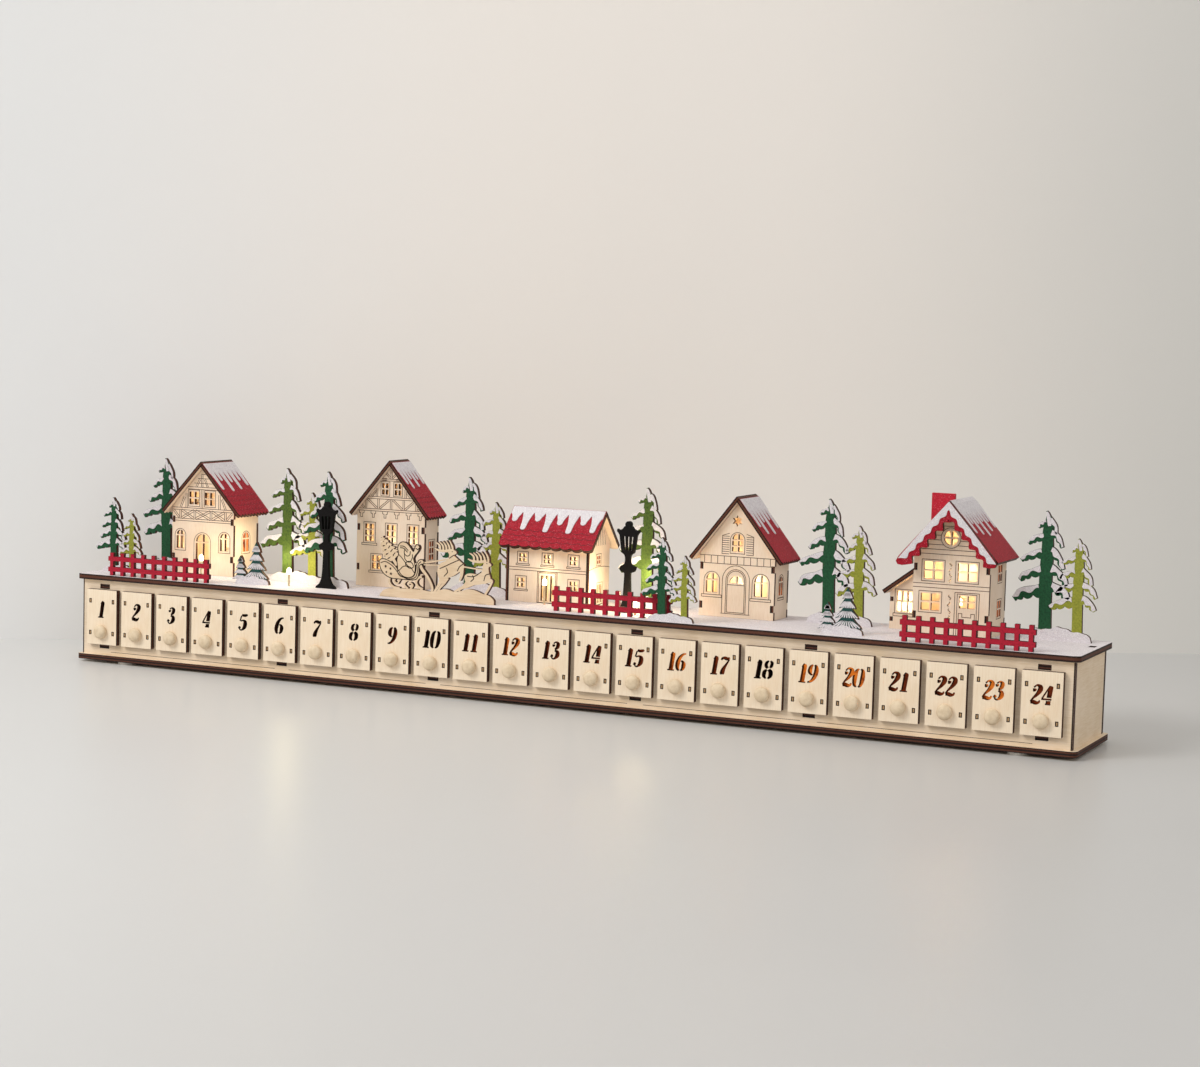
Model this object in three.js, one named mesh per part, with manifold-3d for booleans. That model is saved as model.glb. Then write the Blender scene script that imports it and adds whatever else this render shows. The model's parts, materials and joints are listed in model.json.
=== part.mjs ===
// Village advent calendar: a long plywood case with 24 numbered drawers and a lit village on its deck.
// Millimetres, +Z up, drawers open towards -Y. Origin: centre of the footprint, at the feet.
import * as THREE from 'three';
import Module from 'manifold-3d';
import { mergeVertices } from 'three/addons/utils/BufferGeometryUtils.js';

const wasm = await Module();
wasm.setup();

// Case
const drawerCount = 24;
const drawerPitch = 31;
const casePly = 4;
const caseHeight = 56;
const caseDepth = 80;
const endMargin = 4;
const overhang = 3.5;
const boardCornerRadius = 4;
const footHeight = 2;
const footRadius = 7;
const footInset = 39.5;
const footEdgeInset = 9.5;
const fitGap = 0.3;

// Drawers and the rack that carries them
const frontWidth = 26.5;
const frontHeight = 41;
const frontPly = 4;
const frontLift = 8;
const trayWidth = 22.5;
const slideTravel = 38;
const trayHold = 6;
const trayHeight = 36;
const trayPly = 2.3;
const knobRadius = 5.15;
const knobReach = 6.6;
const knobHeight = 9.7;
const tabShy = 0.6;
const rackPly = 3;
const rackDepth = 50;
const rackTabLength = 8;
const rackTabDrawers = [1, 6, 10, 15, 19, 24];

// Village
const figurePly = 3;
const housePly = 2.5;
const roofPly = 3;
const seatTabLength = 8;
const seatTabDepth = 3.4;
const fenceLength = 86;
const fenceHeight = 17;
const picketCount = 10;
const picketWidth = 3.1;
const railHeight = 3.5;
const lampHeight = 63;
const rightLampX = 57;
const firHeight = 84;
const smallFirHeight = 56;
const firSpacing = 21.4;
const lightFirShare = 0.8;

// Lights and power
const wireRadius = 0.8;
const bulbRadius = 1.6;
const bulbHoleRadius = 2.1;
const cellBay = { width: 58, height: 46, depth: 16 };
const cellRows = 3;
const cellRibPly = 0.8;
const caseWall = 1.5;
const flangePly = 1.2;
const flangeRim = 3;
const doorPly = 1.5;
const switchTravel = 4;

// Levels and planes worked out from the sizes above
const panelLength = drawerCount * drawerPitch + 2 * endMargin;
const boardLength = panelLength + 2 * overhang;
const boardDepth = caseDepth + 2 * overhang;
const baseTop = footHeight + casePly;
const deckUnder = baseTop + caseHeight;
const deckTop = deckUnder + casePly;
const reach = frontPly + knobReach;
const caseFront = (reach - overhang - caseDepth) / 2;
const caseBack = caseFront + caseDepth;
const deckCentre = (caseFront + caseBack) / 2;
const frontInner = caseFront + casePly;
const backInner = caseBack - casePly;
const rackFloorTop = baseTop + frontLift;
const rackCeilingUnder = baseTop + frontLift + frontHeight + tabShy;
const rackBack = caseFront + rackDepth;
const endInner = panelLength / 2 - casePly;

const paint = {
  plywood: [0xebd7be, 0.62],
  plywoodInside: [0xe2cba8, 0.7],
  snow: [0xe4dfe2, 0.8],
  red: [0xb81e2f, 0.55],
  green: [0x23552f, 0.6],
  black: [0x1d1a17, 0.5],
  glow: [0xffe2a0, 0.3],
  plastic: [0x20201f, 0.45],
};

// Outlines

function outline(points) {
  return new THREE.Shape(points.map(([x, y]) => new THREE.Vector2(x, y)));
}

function rectangle(x0, x1, y0, y1) {
  return outline([[x0, y0], [x1, y0], [x1, y1], [x0, y1]]);
}

function arc(cx, cy, radius, from, to, steps) {
  const points = [];
  for (let i = 0; i <= steps; i += 1) {
    const angle = from + (to - from) * i / steps;
    points.push([cx + radius * Math.cos(angle), cy + radius * Math.sin(angle)]);
  }
  return points;
}

function roundedRectangle(width, height, radius, steps) {
  const x = width / 2 - radius;
  const y = height / 2 - radius;
  const quarter = Math.PI / 2;
  const corners = [[x, -y, -1], [x, y, 0], [-x, y, 1], [-x, -y, 2]];
  const points = corners.flatMap(([cx, cy, turn]) =>
    arc(cx, cy, radius, turn * quarter, (turn + 1) * quarter, steps));
  return outline(points);
}

// Solids

function toSolid(geometry) {
  geometry.deleteAttribute('normal');
  geometry.deleteAttribute('uv');
  const merged = mergeVertices(geometry, 1e-4);
  const mesh = new wasm.Mesh({
    numProp: 3,
    vertProperties: Float32Array.from(merged.attributes.position.array),
    triVerts: Uint32Array.from(merged.index.array),
  });
  return new wasm.Manifold(mesh);
}

function prism(shape, thickness, z) {
  const settings = { depth: thickness, bevelEnabled: false };
  return toSolid(new THREE.ExtrudeGeometry(shape, settings).translate(0, 0, z));
}

// A board drawn in X and Y from z up, with the shape's holes cut out of it
function flatBoard(shape, thickness, z) {
  const whole = prism(outline(shape.getPoints().map((p) => [p.x, p.y])), thickness, z);
  return cut(whole, shape.holes.map((hole) => prism(hole, thickness + 2, z - 1)));
}

// The outline is drawn in X and Z, and the board runs from y to y + thickness
function frontBoard(shape, thickness, y) {
  return flatBoard(shape, thickness, 0).rotate([90, 0, 0]).translate([0, y + thickness, 0]);
}

// The outline is drawn in Y and Z, and the board runs from x to x + thickness
function sideBoard(shape, thickness, x) {
  return flatBoard(shape, thickness, 0).rotate([90, 0, 90]).translate([x, 0, 0]);
}

function box(x0, x1, y0, y1, z0, z1) {
  const geometry = new THREE.BoxGeometry(x1 - x0, y1 - y0, z1 - z0);
  return toSolid(geometry.translate((x0 + x1) / 2, (y0 + y1) / 2, (z0 + z1) / 2));
}

function pillar(x, y, z0, z1, radius, sides) {
  const geometry = new THREE.CylinderGeometry(radius, radius, z1 - z0, sides).rotateX(Math.PI / 2);
  return toSolid(geometry.translate(x, y, (z0 + z1) / 2));
}

function join(solids) {
  return solids.reduce((whole, solid) => whole.add(solid));
}

function cut(solid, tools) {
  return tools.reduce((whole, tool) => whole.subtract(tool), solid);
}

function piece(name, solid, finish) {
  const { vertProperties, triVerts } = solid.getMesh();
  const geometry = new THREE.BufferGeometry();
  geometry.setAttribute('position', new THREE.BufferAttribute(Float32Array.from(vertProperties), 3));
  geometry.setIndex(new THREE.BufferAttribute(Uint32Array.from(triVerts), 1));
  const [color, roughness] = paint[finish];
  const material = new THREE.MeshStandardMaterial({ color, roughness, metalness: 0, flatShading: true });
  const mesh = new THREE.Mesh(geometry, material);
  mesh.name = name;
  return mesh;
}

// Case boards

function drawerCentre(number) {
  return (number - (drawerCount + 1) / 2) * drawerPitch;
}

function caseBoard(z) {
  return flatBoard(roundedRectangle(boardLength, boardDepth, boardCornerRadius, 3), casePly, z)
    .translate([0, deckCentre, 0]);
}

function baseBoard() {
  const xs = [-1, 1].map((side) => side * (boardLength / 2 - footInset));
  const ys = [caseFront - overhang + footEdgeInset, caseBack + overhang - footEdgeInset];
  const feet = xs.flatMap((x) => ys.map((y) => pillar(x, y, 0, footHeight + 1, footRadius, 12)));
  return join([caseBoard(footHeight), ...feet]);
}

// Slots that the rack's tabs reach into, in the front panel under and over some drawers
function rackSlots(grow) {
  const levels = [rackFloorTop - rackPly, rackCeilingUnder];
  return rackTabDrawers.flatMap((number) => levels.map((z) => {
    const half = rackTabLength / 2 + grow;
    const x = drawerCentre(number);
    return rectangle(x - half, x + half, z - grow, z + rackPly + grow);
  }));
}

function frontPanel() {
  const shape = rectangle(-panelLength / 2, panelLength / 2, baseTop, deckUnder);
  shape.holes.push(...rackSlots(fitGap));
  const half = trayWidth / 2 + fitGap;
  const low = rackFloorTop;
  const high = rackFloorTop + trayHeight + 2 * fitGap;
  for (let number = 1; number <= drawerCount; number += 1) {
    const x = drawerCentre(number);
    shape.holes.push(rectangle(x - half, x + half, low, high));
  }
  return frontBoard(shape, casePly, caseFront);
}

const bayCentre = (rackFloorTop + rackCeilingUnder) / 2 - 1;
const bodyHalf = cellBay.width / 2 + caseWall;
const bodyLow = bayCentre - cellBay.height / 2 - caseWall;
const bodyHigh = bayCentre + cellBay.height / 2 + caseWall;
const switchX = bodyHalf + 10;
const switchWell = { width: 12, height: 5.6, depth: 4 };

function backPanel() {
  const shape = rectangle(-panelLength / 2, panelLength / 2, baseTop, deckUnder);
  shape.holes.push(rectangle(-bodyHalf - fitGap, bodyHalf + fitGap, bodyLow - fitGap, bodyHigh + fitGap));
  const half = switchWell.width / 2 + caseWall + fitGap;
  const tall = switchWell.height / 2 + caseWall + fitGap;
  shape.holes.push(rectangle(switchX - half, switchX + half, bayCentre - tall, bayCentre + tall));
  return frontBoard(shape, casePly, backInner);
}

const endTab = { y: deckCentre + 10, length: 8 };

function endPanel(side) {
  const x = side < 0 ? -panelLength / 2 : endInner;
  const panel = sideBoard(rectangle(frontInner, backInner, baseTop, deckUnder), casePly, x);
  const half = endTab.length / 2;
  const tab = box(x + fitGap, x + casePly - fitGap, endTab.y - half, endTab.y + half,
    deckUnder - 1, deckUnder + seatTabDepth);
  return panel.add(tab);
}

function drawerRack() {
  const half = endInner - fitGap;
  const front = frontInner;
  const boards = [rackFloorTop - rackPly, rackCeilingUnder].map((z) =>
    box(-half, half, front, rackBack, z, z + rackPly));
  for (let gap = 1; gap < drawerCount; gap += 1) {
    const x = drawerCentre(gap) + drawerPitch / 2;
    boards.push(box(x - rackPly / 2, x + rackPly / 2, front, rackBack,
      rackFloorTop - 0.5, rackCeilingUnder + 0.5));
  }
  const tabs = rackSlots(0).map((shape) => frontBoard(shape, casePly, caseFront + tabShy));
  return join([...boards, ...tabs]);
}

// One drawer, drawn round x = 0: front, tray and knob
function drawer() {
  const low = baseTop + frontLift;
  const front = caseFront - frontPly;
  const half = trayWidth / 2;
  const floor = rackFloorTop + fitGap;
  const back = caseFront + slideTravel + trayHold;
  const plate = box(-frontWidth / 2, frontWidth / 2, front, caseFront, low, low + frontHeight);
  const block = box(-half, half, caseFront - 1, back, floor, floor + trayHeight);
  const hollow = box(-half + trayPly, half - trayPly, caseFront, back - trayPly,
    floor + trayPly, floor + trayHeight + 1);
  return join([plate, block.subtract(hollow), knob(front, low + knobHeight)]);
}

// Ball flattened against the drawer front, turned about the knob's axis
function knob(front, z) {
  const rings = [[0.86, -0.8], [1, knobReach * 0.3], [0.8, knobReach * 0.78]];
  const profile = [[0, -0.8], ...rings.map(([share, out]) => [share * knobRadius, out]), [0, knobReach]];
  const points = profile.map(([radius, height]) => new THREE.Vector2(radius, height));
  const geometry = new THREE.LatheGeometry(points, 12).rotateX(Math.PI / 2);
  return toSolid(geometry.translate(0, front, z));
}

// Battery case, its door and the switch, in the middle of the back panel

const bayFace = caseBack + flangePly;
const doorHalf = cellBay.width / 2 - fitGap;
const doorLow = bayCentre - cellBay.height / 2 + fitGap;
const doorHigh = bayCentre + cellBay.height / 2 - fitGap;

function batteryCase() {
  const body = box(-bodyHalf, bodyHalf, caseBack - cellBay.depth - caseWall, caseBack + 0.5, bodyLow, bodyHigh);
  const flange = box(-bodyHalf - flangeRim, switchX + switchWell.width / 2 + caseWall + flangeRim,
    caseBack, bayFace, bodyLow - flangeRim / 2, bodyHigh + flangeRim / 2);
  const wellHalf = switchWell.width / 2 + caseWall;
  const wellTall = switchWell.height / 2 + caseWall;
  const well = box(switchX - wellHalf, switchX + wellHalf, caseBack - switchWell.depth - caseWall,
    caseBack + 0.5, bayCentre - wellTall, bayCentre + wellTall);
  const bay = box(-cellBay.width / 2, cellBay.width / 2, caseBack - cellBay.depth, bayFace + 1,
    bayCentre - cellBay.height / 2, bayCentre + cellBay.height / 2);
  const pocket = box(switchX - switchWell.width / 2, switchX + switchWell.width / 2,
    caseBack - switchWell.depth, bayFace + 1,
    bayCentre - switchWell.height / 2, bayCentre + switchWell.height / 2);
  const shell = cut(join([body, flange, well]), [bay, pocket]);
  const pitch = cellBay.height / cellRows;
  const low = bayCentre - cellBay.height / 2;
  const ribs = [1, 2].map((row) => box(-cellBay.width / 2 - 0.5, cellBay.width / 2 + 0.5,
    caseBack - cellBay.depth - 0.5, caseBack - cellBay.depth + 3,
    low + row * pitch - cellRibPly / 2, low + row * pitch + cellRibPly / 2));
  const contacts = [0, 1, 2].map((row) => springContact(row % 2 ? -1 : 1, low + (row + 0.5) * pitch));
  return join([shell, ...ribs, ...contacts]);
}

// Conical contact spring, drawn as its stepped outer shape on the end wall of the bay
function springContact(side, z) {
  const profile = [[0, -0.5], [4.5, -0.5], [4.5, 1], [2.2, 5], [0, 5]];
  const points = profile.map(([r, h]) => new THREE.Vector2(r, h));
  const geometry = new THREE.LatheGeometry(points, 8).rotateZ(side * Math.PI / 2);
  return toSolid(geometry.translate(side * cellBay.width / 2, caseBack - cellBay.depth / 2, z));
}

function batteryDoor() {
  const leaf = box(-doorHalf, doorHalf, bayFace - doorPly, bayFace, doorLow, doorHigh);
  const notch = pillar(0, bayFace, doorHigh - 5, doorHigh + 1, 5, 12);
  const grips = [0, 1, 2].map((row) => box(-8, 8, bayFace - 0.2, bayFace + 0.6,
    doorHigh - 10 - row * 2.4, doorHigh - 9 - row * 2.4));
  return join([leaf.subtract(notch), ...grips]);
}

function powerSwitch() {
  const half = (switchWell.width - switchTravel) / 2 - fitGap;
  const tall = switchWell.height / 2 - fitGap;
  const x = switchX - switchTravel / 2;
  const block = box(x - half, x + half, caseBack - switchWell.depth + fitGap, bayFace - 0.4,
    bayCentre - tall, bayCentre + tall);
  const ridges = [-1, 0, 1].map((row) => box(x + row * 2 - 0.5, x + row * 2 + 0.5, bayFace - 0.6,
    bayFace + 1.2, bayCentre - tall, bayCentre + tall));
  return join([block, ...ridges]);
}

// Village pieces are drawn round the middle of the deck, with z = 0 on its top face

// A tab under a board, and the slot for it in the deck
function seatTab(x, y, length, thickness) {
  return { x, y, length, thickness };
}

const seats = [];

function seatedBoard(shape, x, y, tabOffsets, thickness = figurePly, tabLength = seatTabLength) {
  const board = frontBoard(shape, thickness, 0);
  const tabs = tabOffsets.map((offset) => {
    seats.push(seatTab(x + offset, y, tabLength, thickness));
    return box(offset - tabLength / 2, offset + tabLength / 2, 0, thickness, -seatTabDepth, 1);
  });
  return join([board, ...tabs]);
}

function seatSlots() {
  return seats.map((seat) => box(
    seat.x - seat.length / 2 - fitGap, seat.x + seat.length / 2 + fitGap,
    seat.y - fitGap, seat.y + seat.thickness + fitGap, -casePly - 1, 1));
}

// Little fir: a trunk with pointed tiers, wider towards the foot
function littleFir(centre, height, half, trunk, tiers) {
  const first = height * 0.26;
  const step = (height * 0.9 - first) / (tiers - 1);
  const side = [[trunk * 0.95, 0], [trunk * 0.75, first * 0.5]];
  for (let tier = 0; tier < tiers; tier += 1) {
    const share = tier / (tiers - 1);
    const z = first + tier * step;
    const spread = half * (1 - 0.78 * share) * (tier % 2 ? 0.86 : 1);
    side.push([trunk * (0.75 - 0.45 * share), z - step * 0.05], [spread, z - step * 0.3]);
  }
  const left = [...side].reverse().map(([x, z]) => [-x, z]);
  return outline([...side, [0, height], ...left].map(([x, z]) => [centre + x, z]));
}

// Boughs of a big fir: height on the trunk, reach, droop of the tip and half thickness, as shares of the height
const leftBoughs = [
  [0.91, 0.08, 0.04, 0.018], [0.8, 0.155, 0.06, 0.022], [0.67, 0.19, 0.07, 0.026],
  [0.535, 0.235, 0.075, 0.03], [0.385, 0.27, 0.085, 0.036],
];
const rightBoughs = [
  [0.94, 0.075, 0.12, 0.015], [0.84, 0.115, 0.14, 0.018], [0.7, 0.15, 0.15, 0.022],
  [0.56, 0.18, 0.15, 0.025], [0.42, 0.185, 0.12, 0.03],
];
const trunkHalf = [[0.055, 0], [0.044, 0.08], [0.042, 0.5], [0.036, 0.75], [0.02, 0.9], [0.005, 1]];

// A bough droops from the trunk to a blunt tip, with one lobe hanging under it
function bough(side, [start, reach, droop, thick], height) {
  const points = [
    [0, start + thick], [reach * 0.6, start - droop * 0.3 + thick], [reach, start - droop + thick * 0.3],
    [reach * 0.97, start - droop - thick * 0.4], [reach * 0.6, start - droop * 0.3 - thick * 0.9],
    [reach * 0.35, start - droop * 0.12 - thick * 1.4], [0, start - thick],
  ];
  return outline(points.map(([x, z]) => [side * x * height, z * height]));
}

function fir(centre, height) {
  const left = [...trunkHalf].reverse().map(([x, z]) => [-x, z]);
  const trunk = outline([...trunkHalf, ...left].map(([x, z]) => [x * height, z * height]));
  const boughs = [...leftBoughs.map((tier) => bough(-1, tier, height)),
    ...rightBoughs.map((tier) => bough(1, tier, height))];
  const boards = [trunk, ...boughs].map((shape) => frontBoard(shape, figurePly, 0));
  return join(boards).translate([centre, 0, 0]);
}

// Snow bank along the foot of a tree board
function bank(x0, x1, height) {
  const width = x1 - x0;
  const points = [];
  for (let i = 0; i <= 6; i += 1) {
    const share = i / 6;
    const swell = Math.sin(Math.PI * share) ** 0.45;
    points.push([x1 - width * share, height * swell * (1 - 0.16 * Math.sin(3 * Math.PI * share))]);
  }
  return outline(points);
}

function firPair(x, y, height) {
  const scale = height / firHeight;
  const gap = firSpacing * (0.3 + 0.7 * scale);
  const mound = seatedBoard(bank(-15 * scale, gap + 10 * scale, 8.5 * scale), x, y, [gap / 2]);
  return join([mound, fir(0, height), fir(gap, height * lightFirShare)]);
}

function firSingle(x, y, height) {
  return seatedBoard(bank(-16, 17, 8), x, y, [0]).add(fir(0, height));
}

// Two little firs on one bank, short one on the left
function firTwins() {
  const small = littleFir(4, 20, 5, 1.6, 3);
  const tall = littleFir(17.5, 30.5, 8, 2.2, 3);
  const mound = bank(0, 28.5, 6);
  return join([small, tall, mound].map((shape) => frontBoard(shape, figurePly, 0)));
}

function fence(x, y) {
  const pitch = (fenceLength - picketWidth) / (picketCount - 1);
  const last = (picketCount - 1) / 2;
  const pickets = [];
  for (let i = 0; i < picketCount; i += 1) {
    const centre = (i - last) * pitch;
    pickets.push(rectangle(centre - picketWidth / 2, centre + picketWidth / 2, 0, fenceHeight));
  }
  const overrun = 1.5;
  const half = fenceLength / 2 + overrun;
  const rails = [0.17, 0.63].map((share) =>
    rectangle(-half, half, fenceHeight * share, fenceHeight * share + railHeight));
  const seatsAt = [-last + 1, last - 1].map((index) => index * pitch);
  const boards = [...pickets, ...rails].map((shape) => frontBoard(shape, figurePly, 0));
  const feet = seatsAt.map((offset) => {
    seats.push(seatTab(x + offset, y, picketWidth, figurePly));
    return box(offset - picketWidth / 2, offset + picketWidth / 2, 0, figurePly, -seatTabDepth, 1);
  });
  return join([...boards, ...feet]);
}

// Street lamp silhouette: half widths at shares of the height, mirrored, with three slots in the lantern
function streetLamp(x, y) {
  const half = [
    [8.1, 0], [7.4, 0.029], [4.4, 0.073], [3.3, 0.143], [2.9, 0.429], [4.8, 0.454], [5.6, 0.489], [4.6, 0.521],
    [2.5, 0.54], [2.6, 0.611], [4.7, 0.659], [6.6, 0.849], [7.6, 0.863], [8.3, 0.908], [5.6, 0.898],
    [3, 0.93], [1.3, 0.943],
  ].map(([width, share]) => [width, share * lampHeight]);
  const ball = arc(0, lampHeight - 2.3, 2.3, -0.9, Math.PI / 2, 4);
  const right = [...half, ...ball];
  const left = right.slice(0, -1).reverse().map(([w, z]) => [-w, z]);
  const shape = outline([...right, ...left]);
  const low = lampHeight * 0.683;
  const high = lampHeight * 0.838;
  [-3, 0, 3].forEach((centre) => {
    const foot = centre * 0.75;
    shape.holes.push(outline(
      [[foot - 0.8, low], [foot + 0.8, low], [centre + 0.95, high], [centre - 0.95, high]]));
  });
  return seatedBoard(shape, x, y, [0]);
}

// Sleigh with a driver and a fir behind two leaping reindeer, cut as one board on a hilly base strip
function sleighBoard(x, y) {
  const strip = [[-46, 0], [45, 0], [44.6, 4], [41, 6.4], [36, 7.4], [30, 9.4], [24.5, 9.8], [19, 8.2],
    [14, 7.2], [9, 8.4], [5, 8.4], [0, 6.8], [-5, 6], [-13, 6.8], [-24, 6.8], [-38, 6], [-43, 4.4], [-46, 1.4]];
  const hull = [[-47, 24], [-46, 26.2], [-42.5, 26.6], [-38, 25], [-34.5, 22.8], [-31.5, 19.6], [-29, 16.4],
    [-25.5, 14.8], [-21.5, 14.8], [-18.6, 16.4], [-17.2, 20], [-16.8, 24], [-15.4, 27], [-13, 28.2],
    [-11, 27], [-11.4, 25.2], [-13.4, 25], [-14.6, 23.4], [-14.8, 18.6], [-16.4, 14.2], [-21, 13.2],
    [-33, 13.2], [-38.5, 13.8], [-43, 16.2], [-45.6, 19.6]];
  const runner = [[-14.8, 24.5], [-12, 22], [-8.4, 18], [-5, 13.8], [-3, 10], [-2.4, 6], [-4.6, 6],
    [-5.4, 9.6], [-7.4, 12.8], [-10.4, 16.6], [-13.6, 19.8], [-15.4, 22]];
  const scroll = [[-13, 16.6], [-15.4, 15.4], [-17.6, 12.4], [-17, 9.4], [-14, 6.4], [-11, 6], [-10.4, 7.6],
    [-13.6, 8.6], [-15.2, 10.6], [-15, 12.6], [-13, 14.6]];
  const curl = [[-39, 14], [-39.2, 9.8], [-36, 6], [-31, 5.8], [-31, 7.2], [-35, 8], [-37.4, 10.4], [-37.4, 14]];
  const stays = [-30, -23].map((foot) => [[foot - 1, 6], [foot + 1, 6], [foot + 2, 13.6], [foot, 13.6]]);
  const driver = [[-31.6, 17], [-32, 24], [-32.6, 28], [-31.2, 31], [-32.4, 35], [-31, 38.4], [-28.4, 39.8],
    [-25, 39], [-22.6, 36.8], [-19.6, 35.4], [-18, 38], [-15.4, 38], [-14.6, 35.4], [-17.4, 31.6],
    [-19.6, 30], [-18.8, 26], [-17.6, 24.4], [-18.2, 17], [-22, 14.6], [-28, 14.6]];
  const tree = [[-31, 27], [-33.6, 22.4], [-38, 24.6], [-41, 29], [-46.6, 29], [-44.4, 32.4], [-46.4, 36],
    [-42.4, 37], [-44.4, 41.6], [-40, 40.4], [-38, 38], [-33.4, 36], [-35, 33.6], [-31.4, 31.4]];
  const reins = [[[-20, 23.6], [10, 29.6], [10, 30.8], [-20, 25]], [[18, 24.4], [36, 23.2], [36, 24.4], [18, 25.8]]];
  const shapes = [hull, runner, scroll, curl, ...stays, driver, tree, ...reins, ...nearReindeer, ...farReindeer];
  const boards = shapes.map((points) => frontBoard(outline(points), figurePly, 0));
  return join([seatedBoard(outline(strip), x, y, [-26, 26]), ...boards]);
}

// The reindeer beside the sleigh: body with head, hind leg, foreleg and antlers
const nearReindeer = [
  [[0, 20], [0.6, 24], [2.6, 26.6], [6.4, 28.4], [8.6, 31], [9, 33], [8, 35], [10.4, 36.8], [14.4, 35.6],
    [14.6, 33.8], [12.6, 32.6], [15.4, 31], [18, 28.6], [21, 26.4], [20.4, 23.6], [17.4, 22], [13, 18.4],
    [8, 16.4], [4.4, 14.4], [1.4, 15.4]],
  [[1.4, 18], [8, 16.6], [4.6, 12.4], [1.4, 9.6], [-1, 5], [-3.8, 5], [-1.6, 8.6], [0.8, 12.4], [1.8, 14.8]],
  [[17, 23.4], [20.8, 25], [19.6, 16.4], [18, 14.4], [16.6, 14.6], [18, 18]],
  [[9.6, 36.4], [3, 35.2], [-2.8, 34.2], [-3, 35.6], [2, 36.6], [1, 41], [2.4, 41.2], [4.2, 37.4], [5, 42.6],
    [6.6, 42.4], [6.8, 37.8], [8.8, 42], [10, 41.4], [9.6, 38], [11.4, 39], [11.6, 36.6]],
];

// The leading reindeer, lower and stretched further forward
const farReindeer = [
  [[21.4, 16.6], [21.8, 19.4], [25.6, 21], [33, 20.8], [35.6, 24], [35.4, 27.4], [37.8, 30], [41.8, 28.6],
    [42.4, 27.2], [40, 25.8], [41, 22], [42, 18.4], [41, 15.4], [35, 14], [29, 13], [24, 12.6]],
  [[22.6, 14.6], [29, 13.4], [20.4, 10.2], [17, 7], [12.6, 7], [16.6, 10.6], [20, 13]],
  [[39.6, 17.6], [43.2, 17.6], [44, 15.6], [39.6, 6.4], [36.6, 6.4], [40.6, 14.6]],
  [[38, 29.6], [32, 30.4], [23.2, 32], [23.6, 33.4], [28, 33], [27, 36], [28.4, 36.6], [30.4, 33], [30.6, 37.4],
    [32.2, 37.4], [32.8, 33.4], [34.4, 37], [35.8, 36.4], [35.8, 32.8], [38.6, 33]],
];

// Openings in house walls. Each entry gives centre, sill height, width and height of the glazed part

function paneHoles({ at, sill, width, height, columns = 2, rows = 2, bar = 1 }) {
  const paneWidth = (width - bar * (columns - 1)) / columns;
  const paneHeight = (height - bar * (rows - 1)) / rows;
  const holes = [];
  for (let column = 0; column < columns; column += 1) {
    for (let row = 0; row < rows; row += 1) {
      const x = at - width / 2 + column * (paneWidth + bar);
      const z = sill + row * (paneHeight + bar);
      holes.push(rectangle(x, x + paneWidth, z, z + paneHeight));
    }
  }
  return holes;
}

// Panes under a half-round head that is split by the middle bar
function archHoles({ at, sill, width, height, rows = 1, bar = 1 }) {
  const radius = width / 2;
  const spring = sill + height - radius;
  const lower = paneHoles({ at, sill, width, height: spring - bar / 2 - sill, rows, bar });
  return [...lower, ...headHoles({ at, spring: spring + bar / 2, radius: radius, bar })];
}

function headHoles({ at, spring, radius, bar }) {
  const start = Math.acos(bar / 2 / radius);
  const right = [[at + bar / 2, spring], ...arc(at, spring, radius, 0, start, 4)];
  const left = [[at - bar / 2, spring], ...arc(at, spring, radius, Math.PI, Math.PI - start, 4)].reverse();
  return [outline(right), outline(left)];
}

function roundHoles({ at, middle, radius, bar = 1 }) {
  const half = bar / 2;
  const slip = Math.asin(half / radius);
  return [0, 1, 2, 3].map((quarter) => {
    const from = quarter * Math.PI / 2;
    const middleAngle = from + Math.PI / 4;
    const out = half * Math.SQRT2;
    const corner = [at + out * Math.cos(middleAngle), middle + out * Math.sin(middleAngle)];
    return outline([corner, ...arc(at, middle, radius, from + slip, from + Math.PI / 2 - slip, 3)]);
  });
}

function starHole({ at, middle, radius }) {
  const points = [];
  for (let i = 0; i < 12; i += 1) {
    const angle = Math.PI / 2 + i * Math.PI / 6;
    const r = i % 2 ? radius * 0.5 : radius;
    points.push([at + r * Math.cos(angle), middle + r * Math.sin(angle)]);
  }
  return [outline(points)];
}

const openingMakers = { panes: paneHoles, arch: archHoles, round: roundHoles, star: starHole, head: headHoles };

function cutOpenings(shape, openings = []) {
  openings.forEach((opening) => shape.holes.push(...openingMakers[opening.kind](opening)));
  return shape;
}

// Four glued walls. The front gable's outer face is at y = 0, and depth runs towards +Y
function houseWalls(house) {
  const half = house.width / 2;
  const gable = (openings) => cutOpenings(
    outline([[-half, 0], [half, 0], [half, house.eave], [0, house.apex], [-half, house.eave]]), openings);
  const side = (openings) => cutOpenings(
    rectangle(housePly - 0.5, house.depth - housePly + 0.5, 0, house.eave), openings);
  const walls = [
    frontBoard(gable(house.front), housePly, 0),
    frontBoard(gable(), housePly, house.depth - housePly),
    sideBoard(side(house.left), housePly, -half),
    sideBoard(side(house.right), housePly, half - housePly),
  ];
  const tabs = [0, house.depth - housePly].map((y) =>
    box(-seatTabLength / 2, seatTabLength / 2, y, y + housePly, -seatTabDepth, 1));
  return join([...walls, ...tabs]);
}

// Slab of roof in its own plane: u runs down the slope, y along the ridge, with a scalloped eave
function roofSlab(length, top, bottom, scallop) {
  const count = Math.round(length / scallop);
  const step = length / count;
  const points = [[top, length], [top, 0]];
  for (let i = 0; i < count; i += 1) {
    const y = i * step;
    points.push([bottom, y], [bottom + step * 0.22, y + step * 0.3], [bottom + step * 0.22, y + step * 0.7]);
  }
  points.push([bottom, length]);
  return flatBoard(outline(points), roofPly, 0);
}

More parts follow.
